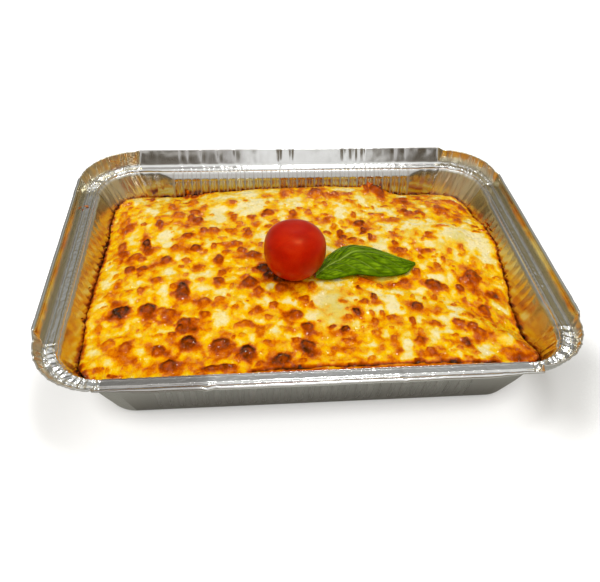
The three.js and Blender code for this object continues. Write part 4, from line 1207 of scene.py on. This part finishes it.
def box_middle(node):
    """The middle and half size of a node's box, in millimetres."""
    low, high = (np.array(corner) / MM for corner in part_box(node))
    return (low + high) / 2, (high - low) / 2


def tomato_material(settings):
    """Ripe tomato skin, waxy and thin over wet flesh: deep red, faintly freckled, with light sunk into
    it and a highlight that the wax blurs."""
    material, tree, place = new_material("ripe_tomato_skin")
    clouds = add(tree, NOISE, {"Vector": place, "Scale": per_metre(9.0), "Detail": 2.0})
    freckles = add(tree, NOISE, {"Vector": place, "Scale": per_metre(0.7), "Detail": 2.0})
    faint = add(tree, MATH, {0: freckles, 1: 0.3}, operation="MULTIPLY")
    share = add(tree, MATH, {0: clouds, 1: 0.7, 2: faint}, operation="MULTIPLY_ADD")
    colour = fill_ramp(add(tree, RAMP, {"Fac": share}), [
        (0.35, darkened(settings.tomato, 0.8)), (0.5, settings.tomato[:]), (0.7, linear("#c02400")),
    ])
    inputs = {
        "Base Color": colour, "Roughness": 0.31, "IOR": 1.42, "Specular IOR Level": 0.65,
        "Specular Tint": linear("#ff9048"),
        "Normal": add(tree, BUMP, {"Height": freckles, "Distance": 0.02 * MM}),
        "Subsurface Weight": 0.3, "Subsurface Radius": (1.0, 0.1, 0.03), "Subsurface Scale": 5.0 * MM,
    }
    add(tree, OUTPUT, {"Surface": add(tree, PRINCIPLED, inputs)})
    return material


class OBJECT_OT_cherry_tomato(Operator):
    """Make the cherry tomato"""
    bl_idname = "object.cherry_tomato"
    bl_label = "Cherry Tomato"

    def execute(self, context):
        centre, half = box_middle("cherry_tomato")
        angle = np.linspace(-QUARTER, QUARTER, TOMATO_ROWS + 2)[1:-1, None]
        turn = FULL_TURN * np.arange(TOMATO_COLUMNS) / TOMATO_COLUMNS
        power = 2 / np.where(angle > 0, TOMATO["shoulders"], TOMATO["squareness"])
        taper = 1 - TOMATO["taper"] * (1 - np.sin(angle)) / 2
        across = np.cos(angle) ** power * taper
        height = np.sign(np.sin(angle)) * np.abs(np.sin(angle)) ** power
        uneven = 1 + sum(lump * np.sin(waves * turn + start) * across for waves, start, lump in TOMATO_LUMPS)
        dimple = DIMPLE["depth"] * np.exp(-(across / DIMPLE["reach"]) ** 2) * (height > 0)
        x = centre[0] + TOMATO["radius"] * across * uneven * np.cos(turn)
        y = centre[1] + TOMATO["radius"] * across * uneven * np.sin(turn)
        z = centre[2] + half[2] * height + 0 * turn - dimple
        points = np.stack([x, y, z], axis=-1).reshape(-1, 3)
        quads = grid_quads(TOMATO_ROWS, TOMATO_COLUMNS, closed=True)
        ring = np.arange(TOMATO_COLUMNS)
        caps = [ring[::-1], (TOMATO_ROWS - 1) * TOMATO_COLUMNS + ring]
        finish = tomato_material(context.scene.meal_garnish)
        tomato = make_mesh("tomato_ripe", points, quads, finish, caps)
        dress(tomato, "cherry_tomato")
        return {"FINISHED"}


MIDRIB = np.array([(3.5, -20.5), (14, -11.8), (28, -3.4), (45, -5.2), (61.5, -10.8)])
LEAF = {"lower": 15.2, "upper": 10.5, "length": 58, "clearance": 2.4, "arch": 3.6, "wave": 0.5, "waves": 1.4,
        "first": 0.02, "last": 0.992, "pucker": 0.55, "groove": 0.25, "ripple": 0.3}
SIDE_VEINS = {"count": 7, "sweep": 0.34, "lower_start": 0.35, "half": 0.6, "strength": 0.34}
MIDRIB_HALF = 0.65
LEAF_ROWS, LEAF_COLUMNS = 260, 110


def along_curve(points, t):
    """A Catmull-Rom curve through the points at t from 0 to 1, centripetal in its spacing: on each
    stretch a cubic takes the slopes that its neighbours give."""
    before, after = 2 * points[0] - points[1], 2 * points[-1] - points[-2]
    line = np.vstack([before, points, after])
    stretch = np.minimum((t * (len(points) - 1)).astype(int), len(points) - 2)
    f = (t * (len(points) - 1) - stretch)[..., None]
    p = [line[stretch + k] for k in range(4)]
    gap = [np.sqrt(np.linalg.norm(p[k + 1] - p[k], axis=-1, keepdims=True)) for k in range(3)]
    slope_in = (p[1] - p[0]) / gap[0] - (p[2] - p[0]) / (gap[0] + gap[1]) + (p[2] - p[1]) / gap[1]
    slope_out = (p[2] - p[1]) / gap[1] - (p[3] - p[1]) / (gap[1] + gap[2]) + (p[3] - p[2]) / gap[2]
    slope_in, slope_out = slope_in * gap[1], slope_out * gap[1]
    return (p[1] + slope_in * f + (-3 * p[1] + 3 * p[2] - 2 * slope_in - slope_out) * f ** 2
            + (2 * p[1] - 2 * p[2] + slope_in + slope_out) * f ** 3)


def leaf_surface():
    """The blade's upper face: s runs from the stalk to the tip and v from the lower edge to the upper.
    Each half bulges by sin, the middle arches, the edges wave, side veins sink into it and the blade
    puckers up between them. Returns the points and the veins' marks."""
    s = np.linspace(LEAF["first"], LEAF["last"], LEAF_ROWS)[:, None]
    v = np.linspace(-1, 1, LEAF_COLUMNS)[None, :]
    rib = along_curve(MIDRIB, s[:, 0])
    pointed = np.sqrt(np.clip((1 - s) / 0.1, 0, 1))
    lower = LEAF["lower"] * np.sin(math.pi * s ** 1.3) ** 0.6 * pointed
    upper = LEAF["upper"] * np.sin(math.pi * s ** 0.65) ** 0.8 * (0.12 + 0.88 * smooth((0.93 - s) / 0.3))
    reach = np.where(v < 0, lower, upper)
    x = rib[:, 0][:, None] + 0 * v
    y = rib[:, 1][:, None] + v * reach
    away = np.abs(v)
    sweep = s - SIDE_VEINS["sweep"] * away
    step = sweep * SIDE_VEINS["count"] + np.where(v < 0, SIDE_VEINS["lower_start"], 0)
    off = np.abs(step - np.round(step)) / SIDE_VEINS["count"] * LEAF["length"]
    side_vein = np.exp(-(off / SIDE_VEINS["half"]) ** 2) * smooth(away / 0.08) * smooth((0.93 - away) / 0.3)
    fainter = (0.25 + 0.75 * smooth((0.62 - s) / 0.3)) * smooth((1.02 - s) / 0.2)
    midrib = np.exp(-(v * reach / MIDRIB_HALF) ** 2) * fainter
    pucker = smooth(off / 2.2) * smooth(away / 0.15) * smooth((1 - away) / 0.12)
    z = crust_level(x, y) + LEAF["clearance"] + LEAF["arch"] * np.sin(math.pi * s) * (1 - v * v)
    z = z + LEAF["wave"] * np.sin(LEAF["waves"] * FULL_TURN * s) * v
    z = z + LEAF["pucker"] * pucker - LEAF["groove"] * midrib + LEAF["ripple"] * layered(s * 9, v * 3, 95)
    fine = 0.5 + 0.8 * layered(s * 9 - 4 * away, v * 16, 96)
    faint = SIDE_VEINS["strength"] * side_vein * (0.6 + 0.8 * noise(s * 5, v * 4, 99))
    marks = {
        "vein": np.maximum(faint, midrib),
        "shade": np.clip(fine * (0.6 + 0.4 * pucker), 0, 1),
        "rim": smooth((away - 0.93) / 0.06) + 0 * s,
    }
    return np.stack([x, y, z], axis=-1), marks


def basil_material(settings):
    """A fresh basil leaf: thin waxy green with paler veins, darker at its edge, and a soft sheen."""
    material, tree, place = new_material("fresh_basil_leaf")
    vein, shade, rim = (add(tree, MARK, attribute_name=mark).outputs["Fac"]
                        for mark in ("vein", "shade", "rim"))
    clouds = add(tree, NOISE, {"Vector": place, "Scale": per_metre(3.0), "Detail": 2.0})
    faint = add(tree, MATH, {0: clouds, 1: 0.5}, operation="MULTIPLY")
    mottled = add(tree, MATH, {0: shade, 1: 0.6, 2: faint}, operation="MULTIPLY_ADD")
    blade = fill_ramp(add(tree, RAMP, {"Fac": mottled}), [
        (0.3, darkened(settings.leaf, 0.45)), (0.55, settings.leaf[:]), (0.8, linear("#7a9a0c")),
    ])
    pale = add(tree, MATH, {0: vein, 1: 0.85}, operation="MULTIPLY")
    veined = add(tree, MIX, {SHARE: pale, FIRST: blade, SECOND: settings.veins[:]}, **COLOURS)
    dark = add(tree, MATH, {0: rim, 1: 0.6}, operation="MULTIPLY")
    colour = add(tree, MIX, {SHARE: dark, FIRST: veined, SECOND: linear("#2c4000")}, **COLOURS)
    cells = add(tree, NOISE, {"Vector": place, "Scale": per_metre(0.5), "Detail": 2.0})
    inputs = {
        "Base Color": colour, "Roughness": 0.36, "IOR": 1.42, "Specular IOR Level": 0.25,
        "Specular Tint": linear("#c0e838"),
        "Normal": add(tree, BUMP, {"Height": cells, "Distance": 0.05 * MM}),
        "Subsurface Weight": 0.06, "Subsurface Radius": (0.4, 1.0, 0.1), "Subsurface Scale": 0.6 * MM,
    }
    add(tree, OUTPUT, {"Surface": add(tree, PRINCIPLED, inputs)})
    return material


class OBJECT_OT_basil_leaf(Operator):
    """Make the basil leaf"""
    bl_idname = "object.basil_leaf"
    bl_label = "Basil Leaf"

    def execute(self, context):
        settings = context.scene.meal_garnish
        points, marks = leaf_surface()
        quads = grid_quads(LEAF_ROWS, LEAF_COLUMNS)
        finish = basil_material(settings)
        leaf = make_mesh("basil_blade", points.reshape(-1, 3), quads, finish, marks=marks)
        thicken(leaf, settings.leaf_thickness)
        dress(leaf, "basil_leaf")
        return {"FINISHED"}


# ---------------------------------------------------------------- stage
CAMERA_PLACE = Vector((-34.714, -273.378, 261.488)) * MM
CAMERA_YAW, CAMERA_PITCH, CAMERA_ROLL = 0.1191, 0.7421, 0.0509
LENS = 37.86               # for a sensor that wide
SHIFT_X = 0.00145          # the lens's axis is just left of the picture's middle
SENSOR = 36
NEAREST = 0.01             # metres: nothing closer is drawn
FLOOR_HALF, FLOOR_Z = 4000.0, -0.2
# Softboxes, in metres: place, the point that each faces, size and whether reflections show it.
SOFTBOXES = {
    "main_light": ((-0.7, -0.8, 1.2), (0, 0, 0), (1.0, 1.0), False),
    "key_light": ((0.2, 0.12, 1.5), (0, 0, 0), (0.3, 0.3), True),
    "front_card": ((0.2, -1.6, 0.8), (0, 0, 0.03), (1.8, 0.9), False),
}


def camera_turn():
    """The camera's turn: a look direction from yaw and pitch, then a roll about it."""
    flat = math.cos(CAMERA_PITCH)
    look = Vector((math.sin(CAMERA_YAW) * flat, math.cos(CAMERA_YAW) * flat, -math.sin(CAMERA_PITCH)))
    level = Vector((math.cos(CAMERA_YAW), -math.sin(CAMERA_YAW), 0))
    above = level.cross(look)
    right = math.cos(CAMERA_ROLL) * level + math.sin(CAMERA_ROLL) * above
    up = math.cos(CAMERA_ROLL) * above - math.sin(CAMERA_ROLL) * level
    return Matrix((right, up, -look)).transposed()


def add_camera(scene):
    """The camera that looks down at the tray from its front left."""
    camera = bpy.data.cameras.new("camera")
    camera.lens = LENS
    camera.sensor_width = SENSOR
    camera.shift_x = SHIFT_X
    camera.clip_start = NEAREST
    viewer = bpy.data.objects.new("camera", camera)
    viewer.matrix_world = Matrix.Translation(CAMERA_PLACE) @ camera_turn().to_4x4()
    scene.collection.objects.link(viewer)
    scene.camera = viewer


def add_softbox(name, place, aim, size, power):
    """A square or oblong area light that faces a point."""
    light = bpy.data.lights.new(name, "AREA")
    light.shape = "RECTANGLE"
    light.size, light.size_y = size
    light.energy = power
    lamp = bpy.data.objects.new(name, light)
    lamp.location = place
    lamp.rotation_euler = (Vector(aim) - Vector(place)).to_track_quat("-Z", "Y").to_euler()
    bpy.context.scene.collection.objects.link(lamp)
    return lamp


# The room's tones from the horizon to straight up, beyond the tray and on the camera's side of it.
ROOM_BEYOND = [(0.0, "#a8864e"), (0.14, "#947e5a"), (0.3, "#68645a"), (0.5, "#7e7e7c"), (0.62, "#a4a4a0"),
               (0.77, "#a6a6a4"), (0.9, "#d4d4d2"), (1.0, "#ffffff")]
ROOM_NEAR = [(0.0, "#6c5a40"), (0.14, "#84745a"), (0.3, "#80725a"), (0.45, "#70685c"), (0.52, "#7e786c"),
             (0.6, "#f0eeea"), (0.75, "#fcfcfa"), (1.0, "#ffffff")]


def add_world():
    """A pale room, bright overhead and dark and warm low down, with a narrow window on the camera's side
    and a dimmer one beyond the tray. The food hardly shows it and the foil shows little else. Each
    eased step takes the one before it as its upper end, so that together they multiply."""
    world = bpy.data.worlds.new("pale_room")
    world.use_nodes = True
    tree = world.node_tree
    tree.nodes.clear()
    way = add(tree, COORDINATES).outputs["Generated"]
    x, y, z = add(tree, PARTS, {0: way}).outputs
    beyond, near = (fill_ramp(add(tree, RAMP, {"Fac": z}), [(at, linear(colour)) for at, colour in tones])
                    for tones in (ROOM_BEYOND, ROOM_NEAR))
    forward = add(tree, RANGE, {"Value": y, "From Min": 0.35, "From Max": -0.35}, **EASED)
    room = add(tree, MIX, {SHARE: forward, FIRST: beyond, SECOND: near}, **COLOURS)

    sideways = add(tree, MATH, {0: x}, operation="ABSOLUTE")
    low = add(tree, RANGE, {"Value": z, "From Min": 0.0, "From Max": 0.2, "To Max": 0.75}, **EASED)
    warm = add(tree, RANGE, {"Value": sideways, "From Min": 0.5, "From Max": 0.8, "To Max": low}, **EASED)
    walls = add(tree, MIX, {SHARE: warm, FIRST: room, SECOND: linear("#c8b898")}, **COLOURS)

    bright = add(tree, MATH, {0: forward, 1: 0.65, 2: 0.35}, operation="MULTIPLY_ADD")
    offset = add(tree, MATH, {0: x, 1: 0.09}, operation="SUBTRACT")
    aside = add(tree, MATH, {0: offset}, operation="ABSOLUTE")
    across = add(tree, RANGE, {"Value": aside, "From Min": 0.15, "From Max": 0.07, "To Max": bright}, **EASED)
    sill = add(tree, RANGE, {"Value": z, "From Min": 0.15, "From Max": 0.3, "To Max": across}, **EASED)
    window = add(tree, RANGE, {"Value": z, "From Min": 0.7, "From Max": 0.55, "To Max": sill}, **EASED)
    tone = add(tree, MIX, {SHARE: window, FIRST: walls, SECOND: linear("#ffffff")}, **COLOURS)
    background = add(tree, "ShaderNodeBackground", {"Color": tone, "Strength": 1.0})
    add(tree, "ShaderNodeOutputWorld", {"Surface": background})
    bpy.context.scene.world = world


def floor_material(settings):
    """A matt white board that glows with painted light of its own, so that its shadows stay faint, and a
    painted shadow that dims the glow close to the tray and, more widely, under its front corners. The foil is
    shown a greyer one without the glow."""
    material, tree, place = new_material("backlit_white_board")
    mirrored = add(tree, "ShaderNodeLightPath").outputs["Is Glossy Ray"]
    tones = {SHARE: mirrored, FIRST: settings.floor[:], SECOND: settings.mirrored_floor[:]}
    # Painted contact shadow: the glow dims where the tray is near.
    open_air = add(tree, OCCLUSION, {"Distance": 17 * MM}, samples=16).outputs["AO"]
    contact = add(tree, RANGE, {"Value": open_air, "From Min": 0.3, "From Max": 0.75, "To Min": 0.45})

    # Painted shadow under the front corners, wider and deeper on the right.
    x, y, _up = add(tree, PARTS, {0: place}).outputs
    to_right = add(tree, RANGE, {"Value": x, "From Min": -0.05, "From Max": 0.05}, **EASED)
    reach = add(tree, MATH, {0: to_right, 1: 18 * MM, 2: 46 * MM}, operation="MULTIPLY_ADD")
    wide = add(tree, OCCLUSION, {"Distance": reach}, samples=16).outputs["AO"]
    depth = add(tree, MATH, {0: to_right, 1: 0.5, 2: 0.3}, operation="MULTIPLY_ADD")
    sideways = add(tree, MATH, {0: x}, operation="ABSOLUTE")
    under = add(tree, RANGE, {"Value": wide, "From Min": 0.99, "From Max": 0.82, "To Max": depth}, **EASED)
    for value, start, end in ((sideways, 0.095, 0.135), (y, -0.015, -0.06), (y, -0.13, -0.085)):
        step = {"Value": value, "From Min": start, "From Max": end, "To Max": under}
        under = add(tree, RANGE, step, **EASED)
    lit = add(tree, MATH, {0: 1.0, 1: under}, operation="SUBTRACT")
    shade = add(tree, MATH, {0: contact, 1: lit}, operation="MULTIPLY")
    # The glow, dimmed by the painted shadows; reflections see none of it.
    light = add(tree, MATH, {0: shade, 1: settings.floor_glow}, operation="MULTIPLY")
    seen = add(tree, MATH, {0: 1.0, 1: mirrored}, operation="SUBTRACT")
    inputs = {
        "Base Color": add(tree, MIX, tones, **COLOURS), "Roughness": 0.8, "Specular IOR Level": 0.1,
        "Emission Color": linear("#ffffff"),
        "Emission Strength": add(tree, MATH, {0: seen, 1: light}, operation="MULTIPLY"),
    }
    add(tree, OUTPUT, {"Surface": add(tree, PRINCIPLED, inputs)})
    return material


class OBJECT_OT_meal_stage(Operator):
    """Make the floor, the lights and the camera"""
    bl_idname = "object.meal_stage"
    bl_label = "Stage"

    def execute(self, context):
        settings = context.scene.meal_stage
        corners = np.array([(x * FLOOR_HALF, y * FLOOR_HALF, FLOOR_Z)
                            for x, y in ((-1, -1), (1, -1), (1, 1), (-1, 1))])
        floor = make_mesh("pale_floor", corners, np.array([[0, 1, 2, 3]]), floor_material(settings))
        add_world()
        for name, (place, aim, size, mirrored) in SOFTBOXES.items():
            lamp = add_softbox(name, place, aim, size, getattr(settings, name))
            lamp.visible_glossy = mirrored
        add_camera(context.scene)
        context.scene.view_settings.view_transform = "Standard"
        return {"FINISHED"}


# ---------------------------------------------------------------- add-on
class VIEW3D_PT_tray_meal(Panel):
    """Settings and steps of the tray meal"""
    bl_label = "Tray Meal"
    bl_space_type = "VIEW_3D"
    bl_region_type = "UI"
    bl_category = "Tray Meal"

    def draw(self, context):
        for group in SETTINGS:
            box = self.layout.box()
            for name in SETTINGS[group].__annotations__:
                box.prop(getattr(context.scene, group), name)
        for step in STEPS:
            self.layout.operator(step.bl_idname)


SETTINGS = {"meal_tray": TraySettings, "meal_lasagne": LasagneSettings, "meal_garnish": GarnishSettings,
            "meal_stage": StageSettings}
STEPS = (OBJECT_OT_meal_stage, OBJECT_OT_tray_wall, OBJECT_OT_tray_rim, OBJECT_OT_lasagne,
         OBJECT_OT_crust_crumbs, OBJECT_OT_cherry_tomato, OBJECT_OT_basil_leaf)
CLASSES = (*SETTINGS.values(), *STEPS, VIEW3D_PT_tray_meal)


def register():
    """Registers the classes and gives every scene its settings."""
    for entry in CLASSES:
        bpy.utils.register_class(entry)
    for name, group in SETTINGS.items():
        setattr(bpy.types.Scene, name, PointerProperty(type=group))


def unregister():
    """Takes back what register did."""
    for name in SETTINGS:
        delattr(bpy.types.Scene, name)
    for entry in reversed(CLASSES):
        bpy.utils.unregister_class(entry)


def main():
    """Registers the add-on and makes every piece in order."""
    register()
    bpy.ops.object.meal_stage()
    bpy.ops.object.tray_wall()
    bpy.ops.object.tray_rim()
    bpy.ops.object.lasagne()
    bpy.ops.object.crust_crumbs()
    bpy.ops.object.cherry_tomato()
    bpy.ops.object.basil_leaf()


if __name__ == "__main__":
    main()
